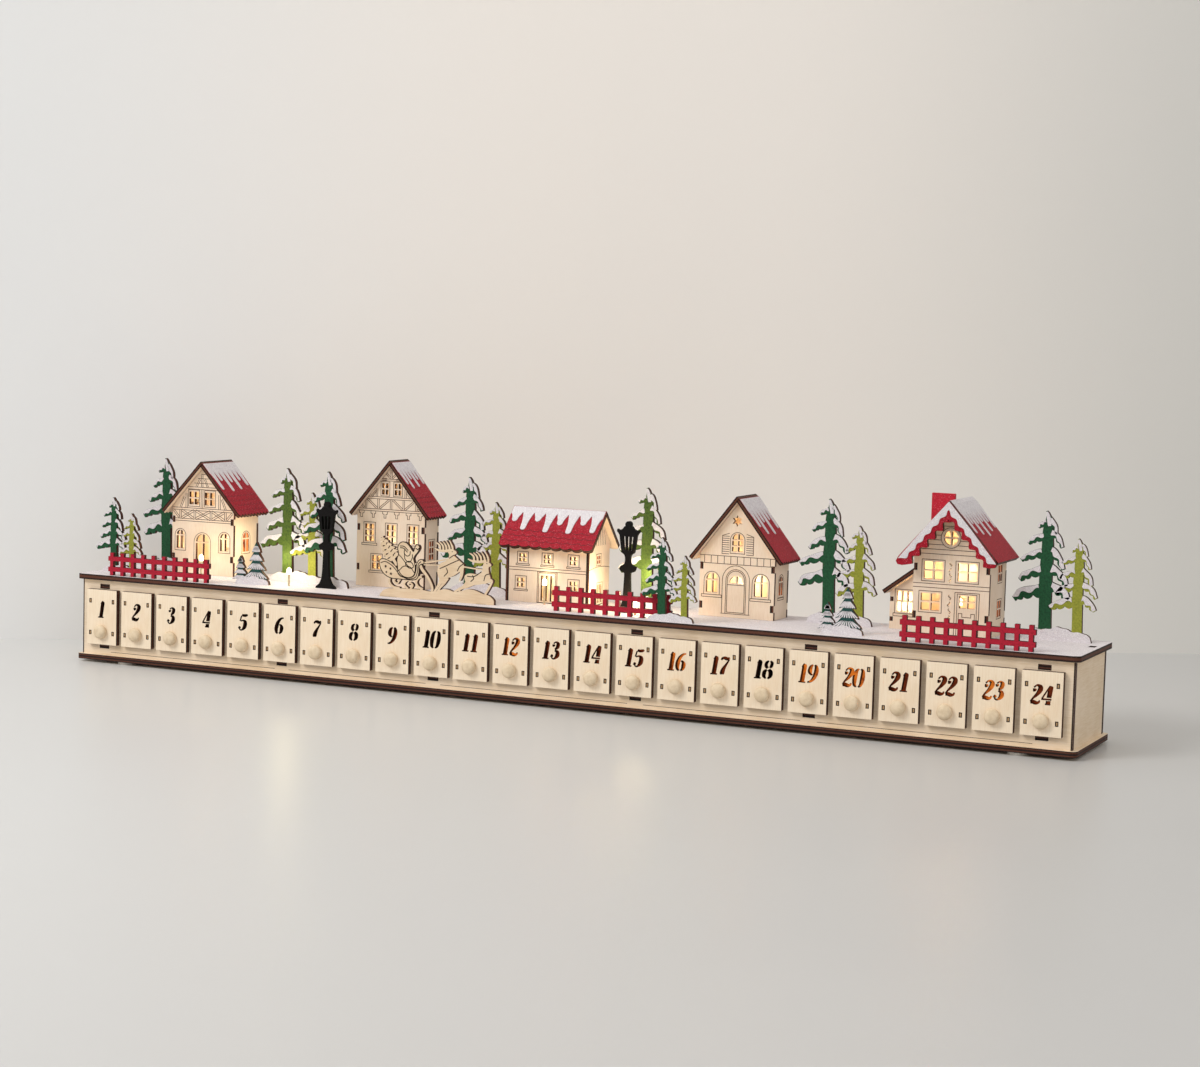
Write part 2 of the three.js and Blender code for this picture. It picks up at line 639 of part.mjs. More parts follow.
// Two slabs that meet at the ridge, the left one running over the end of the right one
function houseRoof(house) {
  const pitch = Math.atan2(house.apex - house.eave, house.width / 2);
  const slope = (house.width / 2 + house.eaveReach) / Math.cos(pitch);
  const length = house.frontReach + house.depth + house.backReach;
  const over = roofPly / Math.sin(2 * pitch);
  const lift = fitGap / Math.cos(pitch);
  const turn = THREE.MathUtils.radToDeg(pitch);
  const right = roofSlab(length, -roofPly * 0.4, slope, house.scallop).rotate([0, turn, 0]);
  const left = roofSlab(length, -over, slope, house.scallop).rotate([0, turn, 0]).mirror([1, 0, 0]);
  const slabs = join([right, left]).translate([0, -house.frontReach, house.apex + lift]);
  return join([slabs, ...(house.extras ? house.extras(house, pitch, slope) : [])]);
}

// House 5: wavy verge board in front of the roof, and a chimney left of the ridge
function vergeAndChimney(house, pitch, slope) {
  const top = house.apex + (fitGap + roofPly) / Math.cos(pitch);
  const waves = 5;
  const steps = 20;
  const across = (s, depth) => [s * Math.cos(pitch) - depth * Math.sin(pitch),
    top - s * Math.sin(pitch) - depth * Math.cos(pitch)];
  const inner = [];
  for (let i = 0; i <= steps; i += 1) {
    const share = i / steps;
    const s = 11 + (slope - 13) * share;
    inner.push(across(s, 7.4 + 1.3 * Math.cos(2 * Math.PI * waves * share)));
  }
  const tip = [across(slope + 1, 5.6), across(slope + 2.4, 3), across(slope + 2, 0.8), across(slope, 0)];
  const right = [...tip.reverse(), ...inner.reverse()];
  const left = [...right].reverse().map(([x, z]) => [-x, z]);
  const board = outline([[0, top], ...right, [0, top - 13], ...left].reverse());
  const front = frontBoard(board, figurePly, -house.frontReach - figurePly + 0.2);
  const foot = (x) => [x, top - roofPly / 2 + x * Math.tan(pitch)];
  const { left: west, right: east, y, depth, rise } = house.chimney;
  const stack = frontBoard(outline([foot(west), foot(east), [east, top + rise], [west, top + rise]]), depth, y);
  return [front, stack];
}

// House 5: lean-to on its left side, set back from the front
function leanTo(house) {
  const { width, setBack, eave, high } = house.annex;
  const x0 = -house.width / 2 - width;
  const x1 = -house.width / 2 + 0.5;
  const shape = outline([[x0, 0], [x1, 0], [x1, high], [x0, eave]]);
  const back = frontBoard(shape, housePly, house.depth - housePly);
  const frontShape = cutOpenings(outline([[x0, 0], [x1, 0], [x1, high], [x0, eave]]), house.annex.front);
  const front = frontBoard(frontShape, housePly, setBack);
  const side = sideBoard(rectangle(setBack, house.depth, 0, eave), housePly, x0);
  const pitch = Math.atan2(high - eave, width);
  const slab = roofSlab(house.depth - setBack + 3, 0, (width + house.annex.reach) / Math.cos(pitch), house.scallop)
    .rotate([0, THREE.MathUtils.radToDeg(pitch), 0]).mirror([1, 0, 0])
    .translate([-house.width / 2 + 0.4, setBack - 3, high - 0.2]);
  return join([front, back, side, slab]);
}

// Each village piece's y is a share of half the case's depth, from the deck's middle towards the back
function fromMiddle(share) {
  return share * caseDepth / 2;
}

const gabledHouses = [
  {
    name: 'house_1', x: -301.7, y: 0.15, width: 54.5, depth: 34, eave: 50.5, apex: 80.5, eaveReach: 5.7,
    frontReach: 4, backReach: 3.5, scallop: 4.2,
    front: [
      { kind: 'panes', at: -8, sill: 52.5, width: 8.4, height: 9.6 },
      { kind: 'panes', at: 5.8, sill: 52.3, width: 8.4, height: 9.6 },
      { kind: 'arch', at: -19.9, sill: 18.8, width: 6.6, height: 13.4 },
      { kind: 'arch', at: -0.2, sill: 4.4, width: 11.6, height: 25.6 },
      { kind: 'arch', at: 19.2, sill: 18.8, width: 7.2, height: 12.8 },
    ],
    right: [{ kind: 'arch', at: 17, sill: 18, width: 8.4, height: 14 }],
  },
  {
    name: 'house_2', x: -147.8, y: 0.4875, width: 56.5, depth: 21.5, eave: 54.6, apex: 88.4, eaveReach: 3.4,
    frontReach: 3.5, backReach: 2.5, scallop: 3.8,
    front: [
      { kind: 'panes', at: -5, sill: 67.8, width: 5.4, height: 8.4 },
      { kind: 'panes', at: 5.6, sill: 67.8, width: 5.4, height: 8.4 },
      { kind: 'panes', at: -17.6, sill: 33, width: 7.2, height: 12.8, rows: 3 },
      { kind: 'panes', at: 0.6, sill: 33, width: 7.2, height: 12.8, rows: 3 },
      { kind: 'panes', at: 18.6, sill: 33, width: 7.2, height: 12.8, rows: 3 },
      { kind: 'panes', at: -11.3, sill: 13, width: 7.2, height: 9.8 },
      { kind: 'panes', at: 12.3, sill: 13, width: 7.2, height: 9.8 },
    ],
    right: [{ kind: 'panes', at: 10.8, sill: 21.5, width: 6.6, height: 13.5, rows: 3 }],
  },
  {
    name: 'house_3', x: 21.5, y: 0.45, turn: Math.PI / 2, width: 33, depth: 65, eave: 43.6, apex: 61.4,
    eaveReach: 5.9, frontReach: 4.5, backReach: 3, scallop: 6.4,
    front: [
      { kind: 'panes', at: -1.6, sill: 29.2, width: 5.4, height: 5.4 },
      { kind: 'panes', at: 0.6, sill: 1.6, width: 6.4, height: 12.8, rows: 1, columns: 3 },
    ],
    left: [
      { kind: 'panes', at: 12.4, sill: 28.4, width: 5.6, height: 5.6 },
      { kind: 'panes', at: 32.6, sill: 28.4, width: 5.6, height: 5.6 },
      { kind: 'panes', at: 51.9, sill: 28.4, width: 5.6, height: 5.6 },
      { kind: 'panes', at: 12, sill: 10.4, width: 5.8, height: 6.4 },
      { kind: 'panes', at: 32.5, sill: 1.6, width: 9.6, height: 18, rows: 1, columns: 3, bar: 1.4 },
      { kind: 'panes', at: 53.1, sill: 10.4, width: 5.8, height: 6.4 },
    ],
    right: [
      { kind: 'panes', at: 16, sill: 28.4, width: 5.6, height: 5.6 },
      { kind: 'panes', at: 49, sill: 28.4, width: 5.6, height: 5.6 },
    ],
  },
  {
    name: 'house_4', x: 129.4, y: 0.175, width: 54.6, depth: 27, eave: 43.5, apex: 78.3, eaveReach: 4.8,
    frontReach: 4, backReach: 4.5, scallop: 3.8,
    front: [
      { kind: 'star', at: -0.9, middle: 66.1, radius: 4 },
      { kind: 'arch', at: -0.2, sill: 45.3, width: 7.8, height: 11.6, rows: 2 },
      { kind: 'arch', at: -18.2, sill: 16.4, width: 8.4, height: 12.8 },
      { kind: 'head', at: -0.6, spring: 23.6, radius: 4.9, bar: 1.2 },
      { kind: 'arch', at: 17.5, sill: 15.6, width: 9.4, height: 14 },
    ],
    right: [{ kind: 'arch', at: 12.6, sill: 16.4, width: 7, height: 12.6 }],
  },
  {
    name: 'house_5', x: 281.3, y: 0.05, width: 51.4, depth: 39, eave: 54.8, apex: 84.4, eaveReach: 5.4,
    frontReach: 9, backReach: 2.5, scallop: 4.2, extras: vergeAndChimney,
    chimney: { left: -16.4, right: -0.8, y: 3.4, depth: figurePly, rise: 3.6 },
    annex: { width: 21.4, setBack: 18, reach: 2.8, eave: 25, high: 41,
      front: [{ kind: 'panes', at: -37, sill: 11.8, width: 9.6, height: 13.4, columns: 2, rows: 2, bar: 1 }] },
    front: [
      { kind: 'round', at: -1.3, middle: 64.4, radius: 4.8 },
      { kind: 'panes', at: -12.4, sill: 36.8, width: 12.8, height: 11.4 },
      { kind: 'panes', at: 10.5, sill: 36.8, width: 12.8, height: 11.4 },
      { kind: 'panes', at: -13.8, sill: 16.2, width: 12.8, height: 11.2 },
      { kind: 'panes', at: 11, sill: 19, width: 10.6, height: 8.2 },
    ],
    right: [{ kind: 'panes', at: 24, sill: 36, width: 8, height: 10.5 },
      { kind: 'panes', at: 24, sill: 12.6, width: 8, height: 10.5 }],
  },
];

// Light bulbs on their stems: in front of doors and banks, and one inside each house
const bulbPlaces = [
  { x: -301.7, y: 0.575, height: 22 },
  { x: -290.6, y: -0.3, height: 16 },
  { x: -211, y: -0.425, height: 12 },
  { x: -147.8, y: 0.75, height: 22 },
  { x: -10, y: -0.1125, height: 17 },
  { x: -13, y: 0.4625, height: 20 },
  { x: 67, y: -0.525, height: 8.5 },
  { x: 129.4, y: 0.5125, height: 22 },
  { x: 246, y: 0.75, height: 10 },
  { x: 281.7, y: 0.55, height: 22 },
];

const bulbs = bulbPlaces.map(({ x, y, height }) => ({ x, y: fromMiddle(y), height }));

// Straight length of wire between two points, run a little past both
function wireBetween(start, end) {
  const run = new THREE.Vector3().subVectors(end, start);
  const geometry = new THREE.CylinderGeometry(wireRadius, wireRadius, run.length() + wireRadius, 5);
  const turn = new THREE.Quaternion().setFromUnitVectors(new THREE.Vector3(0, 1, 0), run.normalize());
  geometry.applyQuaternion(turn);
  const middle = new THREE.Vector3().addVectors(start, end).multiplyScalar(0.5);
  return toSolid(geometry.translate(middle.x, middle.y, middle.z));
}

// Wire under the deck from bulb to bulb, with a tail down the inner face of the battery case
function lightString() {
  const level = -casePly - 1.8;
  const caseFace = caseBack - deckCentre - cellBay.depth - caseWall;
  const tail = { x: 0, y: caseFace - fitGap - wireRadius };
  const stops = [...bulbs, tail].sort((a, b) => a.x - b.x)
    .map(({ x, y }) => new THREE.Vector3(x, y, level));
  const wire = stops.slice(1).map((stop, index) => wireBetween(stops[index], stop));
  const drop = pillar(tail.x, tail.y, bayCentre - deckTop, level + 1, wireRadius, 5);
  return join([...wire, ...bulbs.map((bulb) => bulbOnStem(bulb, level)), drop]);
}

// Stem up from the wire, with a bulb whose tip is rounded
function bulbOnStem({ x, y, height }, level) {
  const base = height - 2.1 * bulbRadius;
  const profile = [[0, level - 1], [wireRadius, level - 1], [wireRadius, base], [bulbRadius, base],
    [bulbRadius, height], [0, height + bulbRadius]];
  const points = profile.map(([r, h]) => new THREE.Vector2(r, h));
  const geometry = new THREE.LatheGeometry(points, 6).rotateX(Math.PI / 2);
  return toSolid(geometry.translate(x, y, 0));
}

// Assembly

const calendar = new THREE.Group();
const village = new THREE.Group();
village.position.set(0, deckCentre, deckTop);
calendar.add(village);

function place(name, solid, finish, x, y, turn = 0) {
  const mesh = piece(name, solid, finish);
  mesh.position.set(x, y, 0);
  mesh.rotation.z = turn;
  village.add(mesh);
}

gabledHouses.forEach((house) => {
  const y = fromMiddle(house.y);
  const walls = house.annex ? join([houseWalls(house), leanTo(house)]) : houseWalls(house);
  place(`${house.name}_walls`, walls, 'plywood', house.x, y, house.turn);
  place(`${house.name}_roof`, houseRoof(house), 'red', house.x, y, house.turn);
  [0, house.depth - housePly].forEach((far) => seats.push(house.turn
    ? seatTab(house.x - far - housePly / 2, y - seatTabLength / 2, housePly, seatTabLength)
    : seatTab(house.x, y + far, seatTabLength, housePly)));
});

const firBoards = [
  { name: 'small_firs_left', x: -364.6, y: -0.5, height: smallFirHeight, pair: true },
  { name: 'fir_left', x: -351.5, y: 0.75, height: firHeight },
  { name: 'firs_house_1', x: -225, y: 0.05, height: firHeight, pair: true },
  { name: 'fir_house_2', x: -184, y: -0.2, height: firHeight },
  { name: 'firs_house_3', x: -83.6, y: 0.525, height: firHeight, pair: true },
  { name: 'fir_lamp', x: rightLampX, y: 0.475, height: firHeight },
  { name: 'small_firs_middle', x: 94.8, y: -1.025, height: smallFirHeight, pair: true },
  { name: 'firs_house_4', x: 191.5, y: 0.425, height: firHeight, pair: true },
  { name: 'firs_right', x: 337.8, y: 0.625, height: firHeight, pair: true },
];
firBoards.forEach(({ name, x, y, height, pair }) => {
  const far = fromMiddle(y);
  place(name, pair ? firPair(x, far, height) : firSingle(x, far, height), 'green', x, far);
});

function placeRow(prefix, finish, maker, spots) {
  spots.forEach(([x, share], index) => {
    const y = fromMiddle(share);
    place(`${prefix}${index + 1}`, maker(x, y), finish, x, y);
  });
}

placeRow('fence_', 'red', fence, [[-308.4, -1.0375], [54.4, -0.8375], [305.8, -1.0375]]);
placeRow('street_lamp_', 'black', streetLamp, [[-181, -0.405], [rightLampX, -0.35]]);
const sleighSpot = { x: -80.5, y: fromMiddle(-0.7875) };
place('sleigh', sleighBoard(sleighSpot.x, sleighSpot.y), 'plywood', sleighSpot.x, sleighSpot.y);

const twins = [[-251.8, -0.625], [204.6, -0.775]]
  .map(([x, share]) => firTwins().translate([x, fromMiddle(share), -0.2]));
const bulbHoles = bulbs.map(({ x, y }) => pillar(x, y, -casePly - 1, 1, bulbHoleRadius, 6));
const endSlots = [-1, 1].map((side) => {
  const x = side * (panelLength / 2 - casePly / 2);
  return box(x - casePly / 2, x + casePly / 2, endTab.y - deckCentre - endTab.length / 2 - fitGap,
    endTab.y - deckCentre + endTab.length / 2 + fitGap, -casePly - 1, 1);
});
const deckPlate = flatBoard(roundedRectangle(boardLength, boardDepth, boardCornerRadius, 3), casePly, -casePly);
const deck = join([cut(deckPlate, [...seatSlots(), ...bulbHoles, ...endSlots]), ...twins]);
place('deck_board', deck, 'snow', 0, 0);
place('light_string', lightString(), 'glow', 0, 0);

calendar.add(piece('base_board', baseBoard(), 'plywood'));
calendar.add(piece('front_panel', frontPanel(), 'plywood'));
calendar.add(piece('back_panel', backPanel(), 'plywood'));
calendar.add(piece('left_end_panel', endPanel(-1), 'plywood'));
calendar.add(piece('right_end_panel', endPanel(1), 'plywood'));
calendar.add(piece('drawer_rack', drawerRack(), 'plywoodInside'));
calendar.add(piece('battery_case', batteryCase(), 'plastic'));
calendar.add(piece('battery_door', batteryDoor(), 'plastic'));
calendar.add(piece('power_switch', powerSwitch(), 'black'));

for (let number = 1; number <= drawerCount; number += 1) {
  const mesh = piece(`drawer_${String(number).padStart(2, '0')}`, drawer(), 'plywood');
  mesh.position.x = drawerCentre(number);
  calendar.add(mesh);
}

export default calendar;
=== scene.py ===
import json
import math

import bpy
import numpy as np
from mathutils import Matrix, Vector
from mathutils.geometry import delaunay_2d_cdt

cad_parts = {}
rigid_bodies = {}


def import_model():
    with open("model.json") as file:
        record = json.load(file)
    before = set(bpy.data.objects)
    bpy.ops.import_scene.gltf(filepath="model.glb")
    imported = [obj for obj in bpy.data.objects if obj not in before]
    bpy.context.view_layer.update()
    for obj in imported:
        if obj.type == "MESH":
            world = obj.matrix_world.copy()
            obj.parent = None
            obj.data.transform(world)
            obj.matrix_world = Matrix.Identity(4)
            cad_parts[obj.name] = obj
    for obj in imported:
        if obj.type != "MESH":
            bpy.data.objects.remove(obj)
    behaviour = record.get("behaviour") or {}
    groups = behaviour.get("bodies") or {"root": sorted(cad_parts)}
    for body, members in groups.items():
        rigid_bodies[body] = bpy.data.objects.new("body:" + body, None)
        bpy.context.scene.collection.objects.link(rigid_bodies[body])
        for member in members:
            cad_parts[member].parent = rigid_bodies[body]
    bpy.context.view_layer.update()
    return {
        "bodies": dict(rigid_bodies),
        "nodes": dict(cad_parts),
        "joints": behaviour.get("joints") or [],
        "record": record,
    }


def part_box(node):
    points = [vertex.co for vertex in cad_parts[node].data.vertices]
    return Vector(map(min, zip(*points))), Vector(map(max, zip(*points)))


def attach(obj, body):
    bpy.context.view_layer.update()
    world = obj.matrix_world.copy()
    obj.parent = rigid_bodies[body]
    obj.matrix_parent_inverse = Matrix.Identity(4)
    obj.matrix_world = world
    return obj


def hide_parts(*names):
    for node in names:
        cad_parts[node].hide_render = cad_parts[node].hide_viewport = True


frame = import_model()
nodes = frame["nodes"]
mm = 0.001
rng = np.random.default_rng(24)

# Levels and planes of the case, in millimetres, read from the CAD pieces
panelLow, panelHigh = [np.array(corner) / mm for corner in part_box("front_panel")]
backHigh = np.array(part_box("back_panel")[1]) / mm
caseFront = panelLow[1]
caseBack = backHigh[1]
deckCentre = (caseFront + caseBack) / 2
deckUnder = panelHigh[2]
ply = 4
deckTop = deckUnder + ply
print("case", caseFront, caseBack, deckTop)


# Colours and shaders

# Each channel: c / 255, brought to the linear scale of light
def srgb(red, green, blue):
    channels = np.array([red, green, blue]) / 255
    linear = np.where(channels < 0.04045, channels / 12.92, ((channels + 0.055) / 1.055) ** 2.4)
    return (*linear.tolist(), 1)


# A node's output that can be added, subtracted and multiplied like a number
class Signal:
    # The shader that the node belongs to, and the output socket
    def __init__(self, shader, socket):
        self.shader = shader
        self.socket = socket

    # self + other
    def __add__(self, other):
        return self.shader.maths("ADD", self, other)

    # self - other
    def __sub__(self, other):
        return self.shader.maths("SUBTRACT", self, other)

    # other - self
    def __rsub__(self, other):
        return self.shader.maths("SUBTRACT", other, self)

    # self * other
    def __mul__(self, other):
        return self.shader.maths("MULTIPLY", self, other)

    __radd__ = __add__
    __rmul__ = __mul__

    # 0 below low, 1 above high, smooth between
    def step(self, low, high):
        made = self.shader.node("ShaderNodeMapRange", {"interpolation_type": "SMOOTHSTEP"},
                                {"Value": self, "From Min": low, "From Max": high})
        return Signal(self.shader, made.outputs[0])


# A material whose nodes are made from Python expressions
class Shader:
    # A new material with its surface node
    def __init__(self, name):
        self.material = bpy.data.materials.new(name)
        self.material.use_nodes = True
        self.tree = self.material.node_tree
        self.surface = self.tree.nodes["Principled BSDF"]

    # New node of a kind: its settings first, then the values or links of its sockets
    def node(self, kind, settings, sockets):
        made = self.tree.nodes.new(kind)
        for key, value in settings.items():
            setattr(made, key, value)
        for key, value in sockets.items():
            self.feed(made.inputs[key], value)
        return made

    # A link from a signal, or a plain value on the socket itself
    def feed(self, target, value):
        if isinstance(value, Signal):
            self.tree.links.new(value.socket, target)
        else:
            target.default_value = value

    # first, operation, second, on numbers
    def maths(self, operation, first, second=0.0):
        made = self.node("ShaderNodeMath", {"operation": operation}, {0: first, 1: second})
        return Signal(self, made.outputs[0])

    # first * (1 - share) + second * share, on colours
    def mix(self, first, second, share):
        made = self.node("ShaderNodeMix", {"data_type": "RGBA"}, {0: share, 6: first, 7: second})
        return Signal(self, made.outputs[2])

    # A mesh attribute as a number and as a vector
    def attribute(self, name):
        made = self.node("ShaderNodeAttribute", {"attribute_name": name}, {})
        return Signal(self, made.outputs["Fac"]), Signal(self, made.outputs["Vector"])

    # Position in the model, in metres
    def place(self):
        made = self.node("ShaderNodeTexCoord", {}, {})
        return Signal(self, made.outputs["Object"])

    # Each part of the vector times its own scale
    def scaled(self, vector, scale):
        made = self.node("ShaderNodeVectorMath", {"operation": "MULTIPLY"}, {0: vector, 1: scale})
        return Signal(self, made.outputs[0])

    # One of the vector's three parts
    def axis(self, vector, index):
        made = self.node("ShaderNodeSeparateXYZ", {}, {0: vector})
        return Signal(self, made.outputs[index])

    # Cloudy noise between 0 and 1
    def noise(self, vector, scale, detail=3.0, rough=0.5):
        made = self.node("ShaderNodeTexNoise", {},
                         {"Vector": vector, "Scale": scale, "Detail": detail, "Roughness": rough})
        return Signal(self, made.outputs[0])

    # One random number for each cell that the vector falls in
    def cellValue(self, vector, scale):
        made = self.node("ShaderNodeTexVoronoi", {}, {"Vector": vector, "Scale": scale})
        return self.axis(Signal(self, made.outputs["Color"]), 0)

    # Surface tilted by the slope of the height
    def bump(self, height, strength, distance=0.0002):
        made = self.node("ShaderNodeBump", {},
                         {"Height": height, "Strength": strength, "Distance": distance})
        self.feed(self.surface.inputs["Normal"], Signal(self, made.outputs[0]))

    # Values or signals on the surface's sockets; gives back the finished material
    def set(self, **sockets):
        names = {"color": "Base Color", "rough": "Roughness", "glow": "Emission Color",
                 "glowPower": "Emission Strength", "gloss": "Specular IOR Level"}
        for key, value in sockets.items():
            self.feed(self.surface.inputs[names[key]], value)
        return self.material


gloss = {"wood": 0.28, "paint": 0.2}
burnt = {"dark": srgb(27, 10, 6), "light": srgb(94, 53, 37), "plies": 1}


# Laser-cut edge: dark and light layers across the board's thickness, with soot blotches
def burntEdge(shader, across):
    wave = shader.maths("COSINE", across * (2 * math.pi * burnt["plies"]))
    soot = shader.noise(shader.place(), 900.0)
    layer = (soot * 0.6 + 0.15 - wave * 0.36).step(0.22, 0.9)
    return shader.mix(burnt["dark"], burnt["light"], layer)


# Pale wood with fine streaks along the board's first or second axis, and burnt edges
def plyMaterial(name, face, streak, along=(0.06, 1.0, 1.0)):
    shader = Shader(name)
    edge, _ = shader.attribute("rim")
    _, board = shader.attribute("board")
    across = shader.axis(board, 2)
    grain = shader.noise(shader.scaled(board, along), 1.6, 5.0, 0.6)
    fine = shader.noise(shader.scaled(board, along), 6.0, 3.0, 0.7)
    cloud = shader.noise(board, 0.05, 2.0)
    tone = (grain * 0.55 + fine * 0.25 + cloud * 0.5).step(0.42, 0.95)
    wood = shader.mix(face, streak, tone)
    color = shader.mix(wood, burntEdge(shader, across * 0.25), edge)
    shader.bump(grain * 0.6 + fine * 0.4, 0.25)
    return shader.set(color=color, rough=grain * 0.2 + 0.5, gloss=gloss["wood"])


# The same wood for a CAD board, whose edges are the faces turned away from its thin direction
def cadPlyMaterial(name, face, streak, thin, along, low):
    shader = Shader(name)
    geometry = shader.node("ShaderNodeNewGeometry", {}, {})
    facing = shader.maths("ABSOLUTE", shader.axis(Signal(shader, geometry.outputs["Normal"]), thin))
    edge = 1.0 - facing.step(0.4, 0.6)
    place = shader.place()
    across = (shader.axis(place, thin) - low * mm) * (1 / (ply * mm))
    stretched = shader.scaled(place, along)
    grain = shader.noise(stretched, 1600.0, 5.0, 0.6)
    cloud = shader.noise(place, 40.0, 2.0)
    tone = (grain * 0.75 + cloud * 0.5).step(0.42, 0.95)
    wood = shader.mix(face, streak, tone)
    color = shader.mix(wood, burntEdge(shader, across * 2), edge)
    shader.bump(grain, 0.2)
    return shader.set(color=color, rough=grain * 0.2 + 0.5, gloss=gloss["wood"])


# Painted board: paint on the faces with a little mottling, burnt edges, and glints of glitter
def paintMaterial(name, color, shade, glitter=0.0, rough=0.55, rim=None, spark=srgb(255, 250, 248)):
    shader = Shader(name)
    edge, _ = shader.attribute("rim")
    _, board = shader.attribute("board")
    mottle = shader.noise(board, 0.7, 4.0, 0.65)
    paint = shader.mix(color, shade, mottle.step(0.35, 0.75))
    specks = shader.cellValue(board, 3.4)
    glint = specks.step(0.965 - glitter * 0.14, 0.975 - glitter * 0.14) * (1.0 if glitter else 0.0)
    paint = shader.mix(paint, spark, glint * 0.75)
    sides = rim if rim else burntEdge(shader, shader.axis(board, 2) * 0.33)
    shader.bump(shader.noise(board, 2.2, 4.0, 0.7) * 0.6 + glint * 0.5, 0.3 + 0.35 * glitter)
    return shader.set(color=shader.mix(paint, sides, edge), rough=(1.0 - glint) * rough + 0.02,
                      gloss=gloss["paint"])


# Snow: cloudy white with dull specks, glints of glitter, and burnt edges
def snowMaterial(name, color, shade):
    shader = Shader(name)
    edge, _ = shader.attribute("rim")
    _, board = shader.attribute("board")
    cloud = shader.noise(board, 0.35, 4.0, 0.6)
    specks = shader.cellValue(board, 3.0)
    glint = specks.step(0.9, 0.92)
    dull = 1.0 - shader.cellValue(board, 4.1).step(0.12, 0.2)
    snow = shader.mix(color, shade, (cloud * 0.8 + dull * 0.35).step(0.35, 0.85))
    snow = shader.mix(snow, srgb(255, 255, 255), glint * 0.6)
    height = shader.noise(board, 1.8, 5.0, 0.7)
    shader.bump(height * 0.7 + glint * 0.3, 0.5)
    color = shader.mix(snow, burntEdge(shader, shader.axis(board, 2) * 0.25), edge)
    return shader.set(color=color, rough=0.85 - glint * 0.5)


# One finish all round, a little mottled
def plainMaterial(name, color, shade, rough, scale=400.0):
    shader = Shader(name)
    place = shader.place()
    mottle = shader.noise(place, scale, 4.0, 0.6)
    shader.bump(mottle, 0.15)
    return shader.set(color=shader.mix(color, shade, mottle.step(0.3, 0.7)), rough=mottle * 0.15 + rough)


# Light seen through a window: a bright room whose wood shows as dimmer patches
def glowMaterial(name, bright, dim, power):
    shader = Shader(name)
    _, board = shader.attribute("board")
    patch = shader.noise(board, 0.12, 2.0, 0.6)
    fine = shader.noise(board, 0.9, 3.0, 0.6)
    share = (patch * 0.85 + fine * 0.25).step(0.42, 0.72)
    color = shader.mix(bright, dim, share)
    return shader.set(color=color, rough=0.7, glow=color, glowPower=power)


wood = srgb(240, 220, 195)
woodStreak = srgb(222, 196, 160)
caseWood = plyMaterial("case wood", wood, woodStreak)
drawerWood = plyMaterial("drawer wood", srgb(247, 230, 206), srgb(232, 208, 176), along=(1.0, 0.05, 1.0))
houseWood = plyMaterial("house wood", srgb(243, 224, 203), srgb(227, 201, 172), along=(1.0, 0.08, 1.0))
sleighWood = plyMaterial("sleigh wood", srgb(232, 210, 180), srgb(210, 180, 144))
innerWood = plyMaterial("inner wood", srgb(190, 158, 118), srgb(140, 104, 70))
knobWood = plainMaterial("knob wood", srgb(228, 208, 178), srgb(212, 190, 158), 0.6, 260.0)
scorchLine = plainMaterial("engraved line", srgb(104, 68, 44), srgb(62, 38, 24), 0.8)
jointLine = plainMaterial("joint line", srgb(52, 26, 16), srgb(30, 14, 9), 0.8)
roofRed = paintMaterial("roof red", srgb(170, 17, 38), srgb(126, 10, 29), 0.06, spark=srgb(226, 120, 130))
fenceRed = paintMaterial("fence red", srgb(178, 30, 52), srgb(146, 20, 40), 0.0, rim=srgb(74, 10, 20))
chimneyRed = paintMaterial("chimney red", srgb(192, 34, 52), srgb(166, 24, 42), 0.06, rim=srgb(112, 16, 30),
                           spark=srgb(230, 130, 138))
firGreen = paintMaterial("fir green", srgb(32, 84, 52), srgb(22, 60, 38), 0.0)
# Olive green for the two firs beside bulbs: painted light of the warm bulbs falling on their green paint
firBulbLitOlive = paintMaterial("fir painted bulb light", srgb(84, 104, 40), srgb(52, 72, 32), 0.0)
firLime = paintMaterial("fir lime", srgb(152, 154, 58), srgb(122, 128, 46), 0.0)
tealFir = paintMaterial("fir teal", srgb(40, 82, 76), srgb(16, 40, 40), 0.0)
lampBlack = paintMaterial("lamp black", srgb(14, 11, 10), srgb(8, 6, 6), 0.0, 0.8, rim=srgb(6, 5, 4))
snowPaint = snowMaterial("snow paint", srgb(220, 214, 216), srgb(190, 182, 188))
deckSnow = snowMaterial("deck snow", srgb(221, 213, 214), srgb(192, 184, 189))
blackPlastic = plainMaterial("black plastic", srgb(34, 34, 35), srgb(24, 24, 25), 0.4, 900.0)
windowGlow = glowMaterial("window glow", srgb(255, 236, 168), srgb(230, 178, 96), 0.9)
amberGlow = glowMaterial("amber glow", srgb(226, 128, 44), srgb(120, 48, 20), 0.75)
emberGlow = glowMaterial("ember glow", srgb(150, 66, 30), srgb(60, 20, 10), 0.42)
revealGlow = glowMaterial("lit reveal", srgb(226, 122, 58), srgb(74, 26, 12), 0.55)
ledGlow = glowMaterial("led glow", srgb(255, 244, 214), srgb(255, 230, 170), 6.0)
wireCoat = plainMaterial("wire coat", srgb(206, 190, 160), srgb(180, 160, 128), 0.35, 900.0)
padFoam = plainMaterial("pad foam", srgb(236, 234, 230), srgb(214, 212, 208), 0.85, 1400.0)


# Meshes

# The columns are the board's own axes in the model, then its origin, in millimetres
def asMatrix(right, up, out, origin):
    matrix = np.eye(4)
    matrix[:3, 0], matrix[:3, 1], matrix[:3, 2], matrix[:3, 3] = right, up, out, origin
    return matrix


# Right, up and out of a board that looks to the front: x, z, -y
def frontPlane(x, y, z):
    return asMatrix((1, 0, 0), (0, 0, 1), (0, -1, 0), (x, y, z))


# Right, up and out of a board that looks to the back: -x, z, y
def backPlane(x, y, z):
    return asMatrix((-1, 0, 0), (0, 0, 1), (0, 1, 0), (x, y, z))


